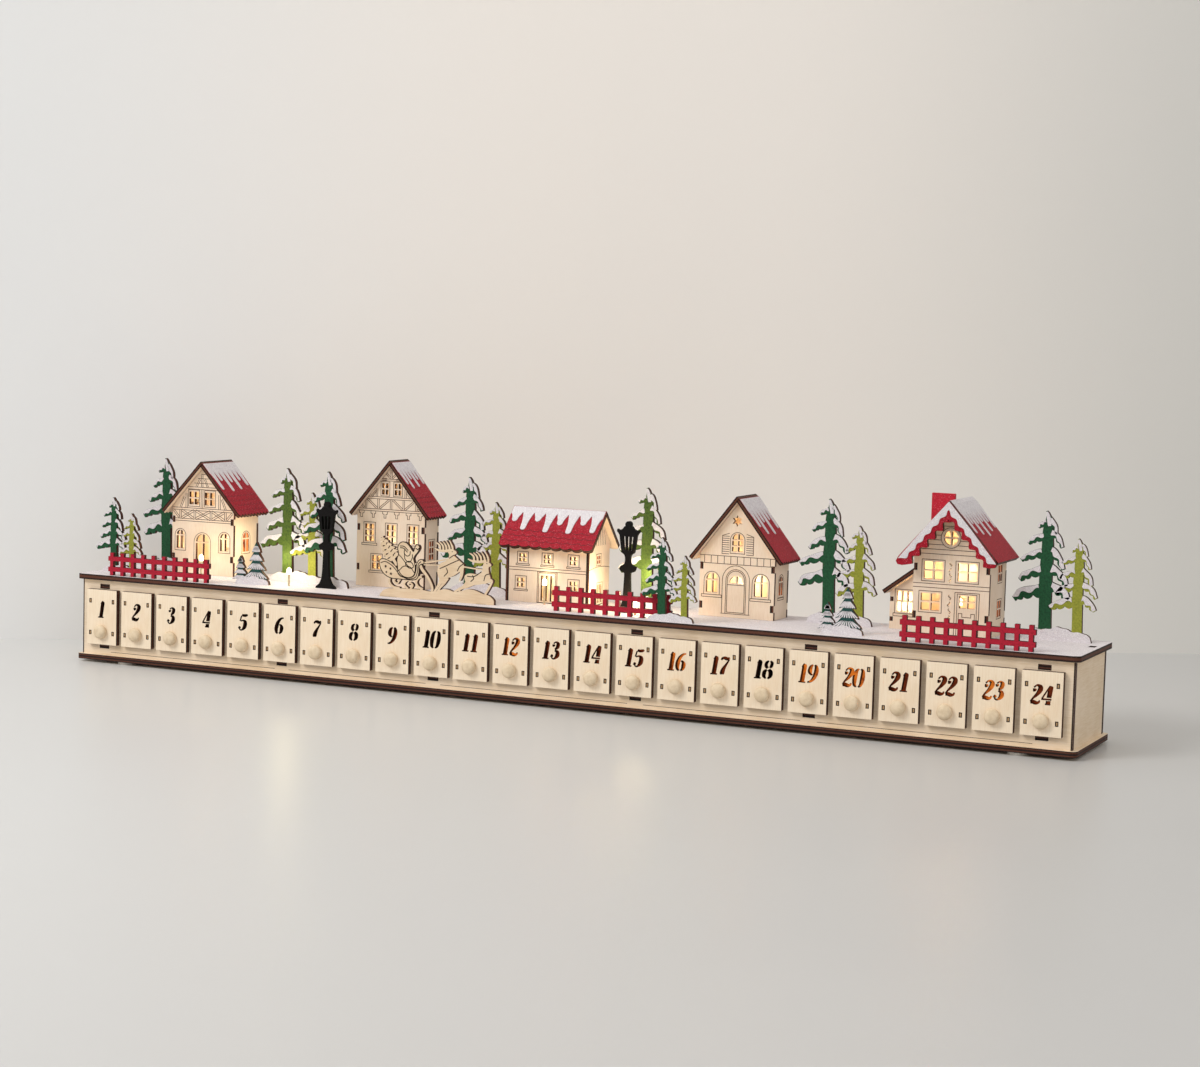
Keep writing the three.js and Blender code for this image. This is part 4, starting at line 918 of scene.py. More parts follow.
# Frieze, shutters and door frame of the fourth house
def gableLines4():
    lines = [np.array([[-27.3, 36.4], [27.3, 36.4]]), np.array([[-27.3, 41.8], [27.3, 41.8]])]
    lines += [np.array([[x, 36.4], [x, 41.8]]) for x in np.linspace(-24, 24, 11)]
    for side in (-1, 1):
        x0, x1 = side * 6.4, side * 11.4
        lines += [np.array([[x0, 43.4], [x1, 43.4], [x1, 57.4 - 1.6], [x0, 57.4]])]
        lines += [np.array([[x0, z], [x1, z]]) for z in np.linspace(45, 55.4, 8)]
    lines += [archLine(-0.2, 45.3, 7.8, 11.6, 1.4)]
    lines += [archLine(-18.2, 16.4, 8.4, 12.8, 1.5), archLine(17.5, 15.6, 9.4, 14, 1.5)]
    lines += [boxLine(-25.6, -10.8, 13.2, 14.9), boxLine(10, 25, 12.4, 14.1)]
    lines += [archLine(-0.6, 2.6, 14.6, 30.4, 0, False), archLine(-0.6, 2.6, 14.6, 30.4, 2.6, False)]
    lines += [archLine(-0.6, 3.6, 12.6, 28.4, 0), np.array([[-6.9, 22.4], [5.7, 22.4]]),
              np.array([[-11, 2.6], [9.8, 2.6]])]
    return lines


# Four panes of a round window: quarter arcs kept off the bars by a small angle, each with its corner
def roundPanes(at, middle, radius, slip=0.11, corner=0.72):
    rings = []
    for quarter in range(4):
        bowl = arc(at, middle, radius, quarter * math.pi / 2 + slip, (quarter + 1) * math.pi / 2 - slip, 8)
        turn = (quarter + 0.5) * math.pi / 2
        tip = [[at + corner * math.cos(turn), middle + corner * math.sin(turn)]]
        rings.append(np.concatenate([tip, bowl]))
    return rings


lastHouse = {"half": 25.7, "eave": 54.8, "apex": 84.4, "round": (-1.3, 64.4), "roundPane": 4.8,
             "roundFrame": 6.7, "roundClear": 6.9, "frame": 1.4, "clapboards": (53.4, 79, 3.1),
             "windows": ((-12.4, 36.8, 12.8, 11.4), (10.5, 36.8, 12.8, 11.4), (-13.8, 16.2, 12.8, 11.2))}


# Clapboards that stop at the gable's slopes and at the round window, and the frames of the last house
def gableLines5():
    look = lastHouse
    half, eave, apex, grow = look["half"], look["eave"], look["apex"], look["frame"]
    at, middle = look["round"]
    slope = (apex - eave) / half
    lines = []
    for z in np.arange(*look["clapboards"]):
        wide = half if z < eave else (apex - z) / slope
        reach = math.sqrt(max(look["roundClear"] ** 2 - (z - middle) ** 2, 0))
        if reach:
            lines += [np.array([[-wide, z], [at - reach, z]]), np.array([[at + reach, z], [wide, z]])]
        else:
            lines.append(np.array([[-wide, z], [wide, z]]))
    lines += [np.array([[-half, z], [half, z]]) for z in (31.2, 33.8)]
    lines.append(ringLine(arc(at, middle, look["roundFrame"], 0, 2 * math.pi, 26)[:-1]))
    for place, sill, width, height in look["windows"]:
        wide = width / 2 + grow
        lines.append(boxLine(place - wide, place + wide, sill - grow, sill + height + grow))
    lines += [boxLine(2.8, 19.2, 0.4, 29.2), boxLine(4.4, 17.6, 0.4, 28.2)]
    lines.append(np.array([[5.6, 0.4], [5.6, 15.6], [8, 15.6], [8, 13.2], [14, 13.2], [14, 15.6],
                           [16.4, 15.6], [16.4, 0.4]]))
    return lines


# Curled ornaments cut through the wall of the last house, one over the other
def curls(at, low, high):
    step = (high - low) / 4
    rings = []
    for index in range(4):
        z = low + index * step
        bend = 1.0 if index % 2 else -1.0
        curl = [(at, z + 0.3, 0.12), (at + bend, z + step * 0.3, 0.34),
                (at - bend * 0.5, z + step * 0.62, 0.34), (at, z + step * 0.86, 0.12)]
        rings.append(band(curl, 4))
    return rings


houses = {
    "house_1": {
        "x": -301.7, "y": 6, "width": 54.5, "depth": 34, "eave": 50.5, "apex": 80.5, "tabs": (10.2, 38.3),
        "front": panes(-8, 52.5, 8.4, 9.6) + panes(5.8, 52.3, 8.4, 9.6) + archPanes(-19.9, 18.8, 6.6, 13.4)
        + archPanes(-0.2, 4.4, 11.6, 25.6) + archPanes(19.2, 18.8, 7.2, 12.8),
        "right": archPanes(17, 18, 8.4, 14),
        "lines": timberGable("house_1") + [
            archLine(-19.9, 18.8, 6.6, 13.4), archLine(-0.2, 4.4, 11.6, 25.6, 1.6, False),
            archLine(19.2, 18.8, 7.2, 12.8)],
        "sideLines": [archLine(17, 18, 8.4, 14)],
        "roof": {"eaveReach": 5.7, "front": 4, "back": 3.5, "scallop": 4.2, "rows": 4, "rowPitch": 4.4,
                 "snow": 0.19, "icicles": (16, 8, 18, 10, 17, 9, 14)},
    },
    "house_2": {
        "x": -147.8, "y": 19.5, "width": 56.5, "depth": 21.5, "eave": 54.6, "apex": 88.4,
        "tabs": (11.6, 40.8),
        "front": panes(-5, 67.8, 5.4, 8.4) + panes(5.6, 67.8, 5.4, 8.4) + panes(-17.6, 33, 7.2, 12.8, 2, 3)
        + panes(0.6, 33, 7.2, 12.8, 2, 3) + panes(18.6, 33, 7.2, 12.8, 2, 3) + panes(-11.3, 13, 7.2, 9.8)
        + panes(12.3, 13, 7.2, 9.8),
        "right": panes(10.8, 21.5, 6.6, 13.5, 2, 3),
        "lines": timberGable("house_2")
        + [line for at in (-17.6, 0.6, 18.6) for line in windowLines(at, 33, 7.2, 12.8)]
        + windowLines(-11.3, 13, 7.2, 9.8) + windowLines(12.3, 13, 7.2, 9.8),
        "sideLines": windowLines(10.8, 21.5, 6.6, 13.5),
        "roof": {"eaveReach": 3.4, "front": 3.5, "back": 2.5, "snow": 0.16, "icicles": (12, 16, 8, 15, 9, 13),
                 "scallop": 4.2, "rows": 4, "rowPitch": 4.4},
    },
    "house_4": {
        "x": 129.4, "y": 7, "width": 54.6, "depth": 27, "eave": 43.5, "apex": 78.3, "tabs": (5.3, 32.1),
        "front": [starRing(-0.9, 66.1, 4)]
        + archPanes(-0.2, 45.3, 7.8, 11.6, 2) + archPanes(-18.2, 16.4, 8.4, 12.8)
        + headPanes(-0.6, 23.6, 4.9, 1.2) + archPanes(17.5, 15.6, 9.4, 14),
        "right": archPanes(12.6, 16.4, 7, 12.6),
        "lines": gableLines4(), "sideLines": [archLine(12.6, 16.4, 7, 12.6), boxLine(7, 18.2, 13.2, 14.7)],
        "roof": {"eaveReach": 4.8, "front": 4, "back": 4.5, "snow": 0.2, "icicles": (13, 19, 10, 20, 9, 16),
                 "scallop": 3.8, "rows": 0},
    },
    "house_5": {
        "x": 281.3, "y": 2, "width": 51.4, "depth": 39, "eave": lastHouse["eave"], "apex": lastHouse["apex"],
        "tabs": (10.5, 42),
        "front": [pane for window in lastHouse["windows"] for pane in panes(*window)]
        + panes(11, 19, 10.6, 8.2) + curls(-0.9, 34.8, 49) + curls(-0.9, 10, 28)
        + roundPanes(*lastHouse["round"], lastHouse["roundPane"]),
        "right": panes(24, 36, 8, 10.5) + panes(24, 12.6, 8, 10.5),
        "lines": gableLines5(),
        "sideLines": [boxLine(18.8, 29.2, 34.8, 47.7), boxLine(18.8, 29.2, 11.4, 24.3)],
        "roof": {"eaveReach": 5.4, "front": 9, "back": 2.5, "scallop": 0.0, "rows": 0, "cap": True,
                 "snow": 0.18, "icicles": (16, 9, 18, 10, 20, 9, 17, 10, 15)},
    },
}
# Thickness of the houses' walls, of their roofs, and of the boards that stand in the village
wallPly, roofPly, figurePly = 2.5, 3.0, 3.0
wallLook = {"notchTall": 4.8, "tabSpan": (0.1, 4.7), "tabInset": 0.4, "lap": 1, "revealGap": 0.7,
            "line": 0.42, "bevel": 0.08}
slabLook = {"scallopDepth": 1.5, "rowLine": 0.32, "rowClear": 0.3, "snowPly": 0.55, "snowSunk": 0.05,
            "capClear": 0.3, "capDown": 0.2, "capUp": 0.3, "lift": 0.3, "lap": 0.4, "bevel": 0.12}
icicleLook = {"foot": 0.38, "half": 0.26, "tipHalf": 0.8, "tipTall": 1.2, "lowest": 1.5, "notch": 1.5,
              "shoulder": 0.12, "ridgeClear": 0.6}


# Snow lying on a roof slab: from the ridge down to a line of rounded icicles of the given lengths. Each
# icicle's outline goes down its left side to the tip and up its right, mirrored about its middle
def snowSheet(length, top, share, icicles, inset=0.5):
    look = icicleLook
    line = top * (1 - share)
    pitch = (length - 2 * inset) / len(icicles)
    foot, half = pitch * look["foot"], pitch * look["half"]
    points = [(inset, line)]
    for index, drop in enumerate(icicles):
        middle = inset + (index + 0.5) * pitch
        low = max(line - drop, look["lowest"])
        rows = [(foot, line - drop * look["shoulder"]), (half, (line + low) / 2),
                (half * look["tipHalf"], low + look["tipTall"])]
        points += [(middle - reach, z) for reach, z in rows]
        points.append((middle, low))
        points += [(middle + reach, z) for reach, z in rows[::-1]]
        if index < len(icicles) - 1:
            points.append((inset + (index + 1) * pitch, line + look["notch"]))
    points.append((length - inset, line))
    edge = spline(points, 4, closed=False)
    ridge = top - look["ridgeClear"]
    return np.concatenate([edge, [[length - inset, ridge], [inset, ridge]]])


# Row of rounded shingle ends along x: y = depth * (1 - |sin(pi * (x / pitch + shift))| to the 0.7)
def scallopEdge(length, pitch, depth, shift=0.0):
    if not pitch:
        return np.array([[0, 0], [length, 0]])
    count = round(length / pitch)
    x = np.linspace(0, length, count * 8 + 1)
    y = depth * (1 - np.abs(np.sin(math.pi * (count * x / length + shift))) ** 0.7)
    return np.column_stack([x, y])


# One side of a roof: a board with rows of shingles, snow under the ridge and, with cap, over its edge
def roofSlab(length, top, look, matrix, snow=True):
    shared = slabLook
    depth, clear = shared["scallopDepth"], shared["rowClear"]
    edge = scallopEdge(length, look["scallop"], depth)
    outline = np.concatenate([edge, [[length, top], [0, top]]])
    solids = [cutBoard([outline], [], roofPly, matrix, (0, 1, 0))]
    rows = []
    for row in range(look["rows"]):
        line = scallopEdge(length, look["scallop"], depth, 0.5 * (row % 2 + 1))
        rows.append(np.clip(line + [0, look["rowPitch"] * (row + 1)], [clear, 0], [length - clear, top]))
    face = matrix.copy()
    face[:3, 3] += matrix[:3, 2] * roofPly
    solids += [(*solid[:4], 3) for solid in strips(rows, look.get("rowLine", shared["rowLine"]), face)]
    if snow:
        sheet = snowSheet(length, top, look["snow"], look["icicles"])
        level = roofPly - shared["snowSunk"]
        solids.append(noRim(cutBoard([sheet], [], shared["snowPly"], matrix, 2, level)))
    if look.get("cap"):
        inset = shared["capClear"]
        ridge = rectangle(inset, length - inset, top - shared["capDown"], top + shared["capUp"])
        solids.append(noRim(cutBoard([ridge], [], roofPly + shared["capUp"], matrix, 2)))
    return solids


roofLine = plainMaterial("roof shadow line", srgb(96, 8, 22), srgb(70, 6, 16), 0.6)
roofMaterials = [roofRed, houseWood, snowPaint, roofLine]


# Plane of a roof slab: right runs along the ridge, up is level * cos(pitch) + upright * sin(pitch), where
# level is square to the ridge, and out is square to both
def slopePlane(right, pitch, x, y, z):
    up = np.cross((0, 0, 1), right) * math.cos(pitch) + np.array([0, 0, 1]) * math.sin(pitch)
    return asMatrix(right, up, np.cross(right, up), (x, deckCentre + y, deckTop + z))


# Two slabs that meet at the ridge, the left one's edge over the right one's
def addRoof(name, house, extra=()):
    look = house["roof"]
    half = house["width"] / 2
    pitch = math.atan2(house["apex"] - house["eave"], half)
    reach = half + look["eaveReach"]
    slope = reach / math.cos(pitch)
    length = look["front"] + house["depth"] + look["back"]
    x, y = house["x"], house["y"] - look["front"]
    z = house["apex"] + slabLook["lift"] / math.cos(pitch) - slope * math.sin(pitch)
    right = roofSlab(length, slope + slabLook["lap"] * roofPly, dict(look, cap=False),
                     slopePlane((0, 1, 0), pitch, x + reach, y, z))
    left = roofSlab(length, slope + roofPly / math.sin(2 * pitch), look,
                    slopePlane((0, -1, 0), pitch, x - reach, y + length, z))
    addPiece(f"{name}Roof", "case", right + left + list(extra), roofMaterials, slabLook["bevel"],
             replaces=[f"{name}_roof"])


# Four walls glued corner to corner, their tabs showing burnt end grain in the front and back walls' notches
def addWalls(name, house, extra=()):
    look = wallLook
    x, y, half, depth = house["x"], house["y"], house["width"] / 2, house["depth"]
    eave, apex, lap = house["eave"], house["apex"], look["lap"]
    gable = np.array([[-half, 0], [half, 0], [half, eave], [0, apex], [-half, eave]])
    notches = [rectangle(*sorted((side * (half + lap), side * (half - wallPly))), z, z + look["notchTall"])
               for z in house["tabs"] for side in (-1, 1)]
    solids = [cutBoard([gable], notches + house["front"], wallPly, villagePlane(frontPlane, x, y + wallPly)),
              cutBoard([gable], notches, wallPly, villagePlane(backPlane, x, y + depth - wallPly))]
    low, high = look["tabSpan"]
    spans = [(look["tabInset"], wallPly + lap), (depth - wallPly - lap, depth - look["tabInset"])]
    for side in (-1, 1):
        outline = [rectangle(wallPly, depth - wallPly, 0, eave)]
        outline += [rectangle(start, end, z + low, z + high) for start, end in spans for z in house["tabs"]]
        if side > 0:
            plane = villagePlane(rightPlane, x + half - wallPly, y)
            solids.append(cutBoard(outline, house["right"], wallPly, plane))
            solids += [cutBoard([ring], [], wallPly - look["revealGap"], plane, 1) for ring in house["right"]]
        else:
            outline = [ring * [-1, 1] for ring in outline]
            solids.append(cutBoard(outline, [], wallPly, villagePlane(leftPlane, x - half + wallPly, y)))
    addPiece(f"{name}Walls", "case", solids + list(extra), [houseWood, revealGlow], look["bevel"],
             replaces=[f"{name}_walls"])
    marks = strips(house["lines"], look["line"], villagePlane(frontPlane, x, y))
    marks += strips(house["sideLines"], look["line"], villagePlane(rightPlane, x + half, y))
    addPiece(f"{name}Lines", "case", marks, [scorchLine])


for name, house in houses.items():
    if name != "house_5":
        addWalls(name, house)
        addRoof(name, house)


leanLook = {"width": 21.4, "back": 18, "eave": 25, "high": 41, "notches": (5, 18.3), "notchTall": 3,
            "window": (-37, 11.8, 10.6, 13.6, 3, 2, 0.8), "clear": 0.5, "roofReach": 2.8, "roofFront": 3,
            "roofClear": 0.2, "roof": {"scallop": 0, "rows": 0}}
# Right, left and snow give the depth of a lower edge under the slope's line and how far it swings;
# snowTop is the depth of the snow's upper edge at the peak, halfway and at the tip
vergeLook = {"waves": 5, "start": 9.4, "right": (7.6, 1.3), "left": (8.5, 1.6), "leftOut": 2.2,
             "peakDepth": 12.4, "tip": ((0, 0), (4, 0.9), (4.8, 3.2), (3, 6)), "proud": 0.2,
             "snow": (4.4, 0.7), "snowShift": 0.5, "snowStart": 0.6, "snowEnd": 3.4, "snowPly": 0.45,
             "snowTop": (0.12, 0.12, 0.8), "snowPeak": 0.5}
chimneyLook = {"left": -16.4, "right": -0.8, "back": 3.4, "rise": 3.6, "sunk": 1.5, "bevel": 0.25}


# Front, back and outer wall of the lean-to
def leanWalls(house):
    look = leanLook
    x, y, half, depth = house["x"], house["y"], house["width"] / 2, house["depth"]
    outer = -half - look["width"]
    outline = np.array([[outer, 0], [-half, 0], [-half, look["high"]], [outer, look["eave"]]])
    notches = [rectangle(outer - 1, outer + wallPly, z, z + look["notchTall"]) for z in look["notches"]]
    side = rectangle(-depth + wallPly, -look["back"] - look["clear"], 0, look["eave"] - look["clear"])
    return [cutBoard([outline], notches + panes(*look["window"]), wallPly,
                     villagePlane(frontPlane, x, y + look["back"] + wallPly)),
            cutBoard([outline * [-1, 1]], [], wallPly, villagePlane(backPlane, x, y + depth - wallPly)),
            cutBoard([side], [], wallPly, villagePlane(leftPlane, x + outer + wallPly, y))]


# The lean-to's engraved window frame and its plain roof board
def dressLeanTo(house):
    look = leanLook
    x, y, half, depth = house["x"], house["y"], house["width"] / 2, house["depth"]
    marks = strips([boxLine(-43.6, -30.4, 10.5, 26.6), boxLine(-44.6, -29.4, 8.6, 10.5)], wallLook["line"],
                   villagePlane(frontPlane, x, y + look["back"]))
    addPiece("house_5LeanLines", "case", marks, [scorchLine])
    pitch = math.atan2(look["high"] - look["eave"], look["width"])
    length = depth - look["back"] + look["roofFront"]
    reach = look["width"] + look["roofReach"]
    top = reach / math.cos(pitch)
    place = slopePlane((0, -1, 0), pitch, x - half - look["roofClear"] - reach, y + depth,
                       look["high"] + slabLook["lift"] - top * math.sin(pitch))
    addPiece("house_5LeanRoof", "case", roofSlab(length, top, look["roof"], place, False), roofMaterials,
             slabLook["bevel"])


# Verge board under the roof's front edge, and the snow on it. A point lies at a reach down the slope and a
# depth square to it; the lower edges swing as depth + swing * cos(2 * pi * waves * share of the reach)
def vergeSolids(house, peak, pitch):
    look = vergeLook
    c, s = math.cos(pitch), math.sin(pitch)
    slope = (house["width"] / 2 + house["roof"]["eaveReach"]) / c
    start, turn = look["start"], 2 * math.pi * look["waves"]

    # From reach and depth along the rafter to x and z
    def rafters(reach, depths):
        return np.column_stack([reach * c - depths * s, peak - reach * s - depths * c])

    run = np.linspace(0, 1, 61)
    reach = start + (slope - start) * run
    tip = np.concatenate([rafters(np.array([slope + out]), np.array([down])) for out, down in look["tip"]])
    wings = {}
    for name in ("right", "left"):
        depth, swing = look[name]
        wings[name] = rafters(reach, depth + swing * np.cos(turn * run))[::-1]
    right = np.concatenate([tip, wings["right"]])
    shift = [look["leftOut"] * c, -look["leftOut"] * s]
    left = (np.concatenate([tip + shift, wings["left"]]) * [-1, 1])[::-1]
    verge = np.concatenate([[[0, peak]], right, [[0, peak - look["peakDepth"]]], left])
    front = villagePlane(frontPlane, house["x"], house["y"] - house["roof"]["front"] + look["proud"])
    solids = [cutBoard([verge], [], roofPly, front, (0, 1, 0))]
    reach = np.linspace(look["snowStart"], slope + look["snowEnd"], 70)
    depth, swing = look["snow"]
    wave = swing * np.cos(turn * (reach - start) / (slope - start) + look["snowShift"])
    lower = rafters(reach, depth + wave - swing * np.clip(reach - slope, 0, 4))
    lower = lower[lower[:, 0] > 0]
    ends = np.array([0.0, slope * 0.5, slope + look["snowEnd"]])
    upper = rafters(ends, np.array(look["snowTop"]))[::-1][:-1]
    sheet = np.concatenate([[[0, lower[0, 1]]], lower, upper, [[0, peak - look["snowPeak"]]]])
    return solids + [noRim(cutBoard([sheet * [side, 1]], [], look["snowPly"], front, 2,
                                    roofPly - slabLook["snowSunk"])) for side in (1, -1)]


# Chimney board whose foot follows the left slope
def addChimney(house, peak, pitch):
    look = chimneyLook
    left, right, top = look["left"], look["right"], peak + look["rise"]
    foot = [peak - look["sunk"] + x * math.tan(pitch) for x in (left, right)]
    stack = np.array([[left, foot[0]], [right, foot[1]], [right, top], [left, top]])
    plane = villagePlane(frontPlane, house["x"], house["y"] + look["back"] + figurePly)
    addPiece("house_5Chimney", "case", [noRim(cutBoard([stack], [], figurePly, plane))], [chimneyRed],
             look["bevel"])


# The last house: walls with a lean-to, roofs, wavy verge board with a band of snow, and a chimney
def addLastHouse():
    house = houses["house_5"]
    pitch = math.atan2(house["apex"] - house["eave"], house["width"] / 2)
    peak = house["apex"] + (slabLook["lift"] + roofPly) / math.cos(pitch)
    addWalls("house_5", house, leanWalls(house))
    dressLeanTo(house)
    addRoof("house_5", house, vergeSolids(house, peak, pitch))
    addChimney(house, peak, pitch)


addLastHouse()
print("houses done")


# The long low house: its ridge runs along the case and its eave faces the front. Windows and door are
# (distance from the right end, sill, width, height); those in the end wall count from its middle
longLook = {
    "left": -43.5, "right": 21.5, "middle": 18, "half": 16.5, "eave": 43.6, "apex": 61.4, "bar": 0.8,
    "windows": ((12.4, 28.4, 5.6, 5.6), (32.6, 28.4, 5.6, 5.6), (51.9, 28.4, 5.6, 5.6),
                (12, 10.4, 5.8, 6.4), (53.1, 10.4, 5.8, 6.4)),
    "door": (32.5, 1.6, 9.6, 18), "doorBar": 1.3, "doorFrames": ((6.6, 21.4), (7.6, 22.2)),
    "endWindow": (-1.6, 29.2, 5.4, 5.4), "endDoor": (0.6, 1.6, 6.4, 12.8), "ledges": (22.4, 24.4),
    "frame": 1.5, "ledgeOut": 0.9, "ledgeTall": 1.1, "endBow": (24.6, 2.4, 1.2),
    "endBoards": (-9, -6, -3, 0, 3, 6, 9), "endBoardFoot": 42, "endBoardFall": 1.08, "endBoardClear": 3,
    "roofEnds": (3, 4.5), "roofReach": 5.9,
    "roof": {"scallop": 8.2, "rows": 3, "rowPitch": 4.6, "rowLine": 0.36, "snow": 0.2},
    "frontIcicles": (7, 14, 6, 15, 8, 15, 7, 13), "backIcicles": (13, 7, 15, 8, 15, 6, 14, 7),
}
longHouse = longLook["right"] - longLook["left"]
longFront = longLook["middle"] - longLook["half"]


# A window or door of the front wall with its place counted from the wall's left end
def fromLeft(opening):
    return (longHouse - opening[0], *opening[1:])


# Walls of the long house, with lit panes let into the end wall
def addLongWalls():
    look = longLook
    half, middle, eave = look["half"], look["middle"], look["eave"]
    small = {"columns": 2, "rows": 2, "bar": look["bar"]}
    holes = [pane for window in look["windows"] for pane in panes(*fromLeft(window), **small)]
    holes += panes(*fromLeft(look["door"]), 3, 1, look["doorBar"])
    endWindow = panes(*look["endWindow"], **small)
    endDoor = panes(*look["endDoor"], 3, 1, look["bar"])
    wall = rectangle(wallPly, longHouse - wallPly, 0, eave)
    gable = np.array([[-half, 0], [half, 0], [half, eave], [0, look["apex"]], [-half, eave]])
    back = villagePlane(backPlane, look["left"], longFront + 2 * half - wallPly)
    end = villagePlane(rightPlane, look["right"] - wallPly, middle)
    solids = [cutBoard([wall], holes, wallPly, villagePlane(frontPlane, look["left"], longFront + wallPly)),
              cutBoard([wall * [-1, 1]], [], wallPly, back),
              cutBoard([gable], endWindow + endDoor, wallPly, end),
              cutBoard([gable], [], wallPly, villagePlane(leftPlane, look["left"] + wallPly, middle))]
    for rings, kind in ((endWindow, 1), (endDoor, 2)):
        solids += [cutBoard([ring], [], wallPly - wallLook["revealGap"], end, kind) for ring in rings]
    addPiece("house_3Walls", "case", solids, [houseWood, revealGlow, windowGlow], wallLook["bevel"],
             replaces=["house_3_walls"])


# Frames, ledges and the end wall's upright boards, engraved
def addLongLines():
    look = longLook
    half, grow = look["half"], look["frame"]
    lines = [line for window in look["windows"]
             for line in windowLines(*fromLeft(window), grow, look["ledgeOut"], look["ledgeTall"])]
    lines += [np.array([[0, z], [longHouse, z]]) for z in look["ledges"]]
    door = fromLeft(look["door"])[0]
    lines += [boxLine(door - wide, door + wide, 0.4, high) for wide, high in look["doorFrames"]]
    marks = strips(lines, wallLook["line"], villagePlane(frontPlane, look["left"], longFront))
    level, rise, turn = look["endBow"]
    ends = [boxLine(-5.6, 2.4, 27.8, 36), boxLine(-4, 5.2, 0.4, 15.8)]
    ends += [np.array([[y, level + rise * math.cos(y / half * turn)] for y in np.linspace(-half, half, 16)])]
    fall, clear = look["endBoardFall"], look["endBoardClear"]
    ends += [np.array([[y, look["endBoardFoot"]], [y, look["apex"] - abs(y) * fall - clear]])
             for y in look["endBoards"]]
    marks += strips(ends, wallLook["line"], villagePlane(rightPlane, look["right"], look["middle"]))
    addPiece("house_3Lines", "case", marks, [scorchLine])


# Front and back slab, the front one's edge over the back one's
def addLongRoof():
    look = longLook
    half, middle, reach = look["half"], look["middle"], look["roofReach"]
    pitch = math.atan2(look["apex"] - look["eave"], half)
    slope = (half + reach) / math.cos(pitch)
    length = longHouse + sum(look["roofEnds"])
    z = look["apex"] + slabLook["lift"] / math.cos(pitch) - slope * math.sin(pitch)
    place = slopePlane((1, 0, 0), pitch, look["left"] - look["roofEnds"][0], middle - half - reach, z)
    front = roofSlab(length, slope + roofPly / math.sin(2 * pitch),
                     dict(look["roof"], icicles=look["frontIcicles"]), place)
    place = slopePlane((-1, 0, 0), pitch, look["right"] + look["roofEnds"][1], middle + half + reach, z)
    back = roofSlab(length, slope + slabLook["lap"] * roofPly,
                    dict(look["roof"], icicles=look["backIcicles"]), place)
    addPiece("house_3Roof", "case", front + back, roofMaterials, slabLook["bevel"], replaces=["house_3_roof"])


addLongWalls()
addLongLines()
addLongRoof()
print("long house done")


# Firs

# Each tier: height on the trunk, reach and drop of its tip, and half thickness, all as shares of the height
leftTiers = [(0.91, 0.08, 0.04, 0.02), (0.8, 0.15, 0.06, 0.025), (0.67, 0.185, 0.07, 0.029),
             (0.535, 0.225, 0.075, 0.033), (0.385, 0.25, 0.08, 0.042)]
rightTiers = [(0.94, 0.07, 0.12, 0.018), (0.84, 0.11, 0.13, 0.022), (0.7, 0.14, 0.14, 0.027),
              (0.56, 0.165, 0.14, 0.03), (0.42, 0.17, 0.11, 0.035)]
trunkLine = [(0, 0, 0.058), (0.004, 0.08, 0.05), (0, 0.3, 0.048), (-0.004, 0.5, 0.05), (0.002, 0.7, 0.046),
             (-0.002, 0.85, 0.038), (0.002, 0.93, 0.024), (-0.004, 0.975, 0.012), (-0.016, 1.0, 0.004)]
boughLook = {"lobes": 3.6, "lobeDepth": 0.75, "lobePower": 0.7, "under": 0.6, "ripple": 0.14, "ripples": 9,
             "cover": {-1: 0.05, 1: -0.45}, "snowRipple": 0.35, "snowRipples": 16, "snowTop": 0.96,
             "snowFrom": {-1: 5, 1: 6}, "steps": 10}


# One bough: its middle line droops from the trunk to the tip. Small lobes hang from its lower edge as
# |sin(pi * lobes * share)| to a power; the snow covers what is above a line that ripples along it
def bough(side, tier, height, centre, phase):
    look = boughLook
    start, reach, drop, thick = (value * height for value in tier)
    line = [(0, start + thick * 0.2, thick * 1.25), (reach * 0.4, start - drop * 0.12, thick * 1.05),
            (reach * 0.78, start - drop * 0.5, thick * 0.9), (reach, start - drop, thick * 0.5)]
    line = spline(line, look["steps"], closed=False)
    middle, half = line[:, :2], line[:, 2:3]
    ahead = np.gradient(middle, axis=0)
    ahead /= np.linalg.norm(ahead, axis=1, keepdims=True)
    normal = np.column_stack([-ahead[:, 1], ahead[:, 0]])
    share = np.linspace(0, 1, len(line))[:, None]
    lobes = look["lobeDepth"] * np.abs(np.sin(share * math.pi * look["lobes"] + phase)) ** look["lobePower"]
    ripple = look["snowRipple"] * np.sin(share * look["snowRipples"] + phase * 2)
    upper = middle + normal * half * (1 + look["ripple"] * np.sin(share * look["ripples"] + phase))
    lower = middle - normal * half * (look["under"] + lobes)
    snowLow = middle + normal * half * (look["cover"][side] + ripple)
    snowHigh = middle + (upper - middle) * look["snowTop"]
    keep = slice(look["snowFrom"][side], -1)
    flip, place = np.array([side, 1]), np.array([centre, 0])
    board = np.concatenate([upper, lower[::-1]]) * flip + place
    snow = np.concatenate([snowHigh[keep], snowLow[keep][::-1]]) * flip + place
    return board, snow


# A fir's trunk and boughs, and the snow on them
def firShapes(centre, height, phase=0.0):
    outers = [band([(centre + x * height, z * height, half * height) for x, z, half in trunkLine], 4)]
    snow = []
    for side, tiers in ((-1, leftTiers), (1, rightTiers)):
        for index, tier in enumerate(tiers):
            sway = 1 + 0.09 * math.sin(phase * 3 + index * 2.1 + side)
            start, reach, drop, thick = tier
            board, white = bough(side, (start, reach * sway, drop * (2 - sway), thick), height, centre,
                                 phase + index * 1.7)
            outers.append(board)
            snow.append(white)
    tip = [(0.012, 0.885, 0.012), (0.006, 0.93, 0.016), (-0.004, 0.972, 0.012), (-0.012, 0.994, 0.005)]
    snow.append(band([(centre + x * height, z * height, half * height) for x, z, half in tip], 4))
    return outers, snow


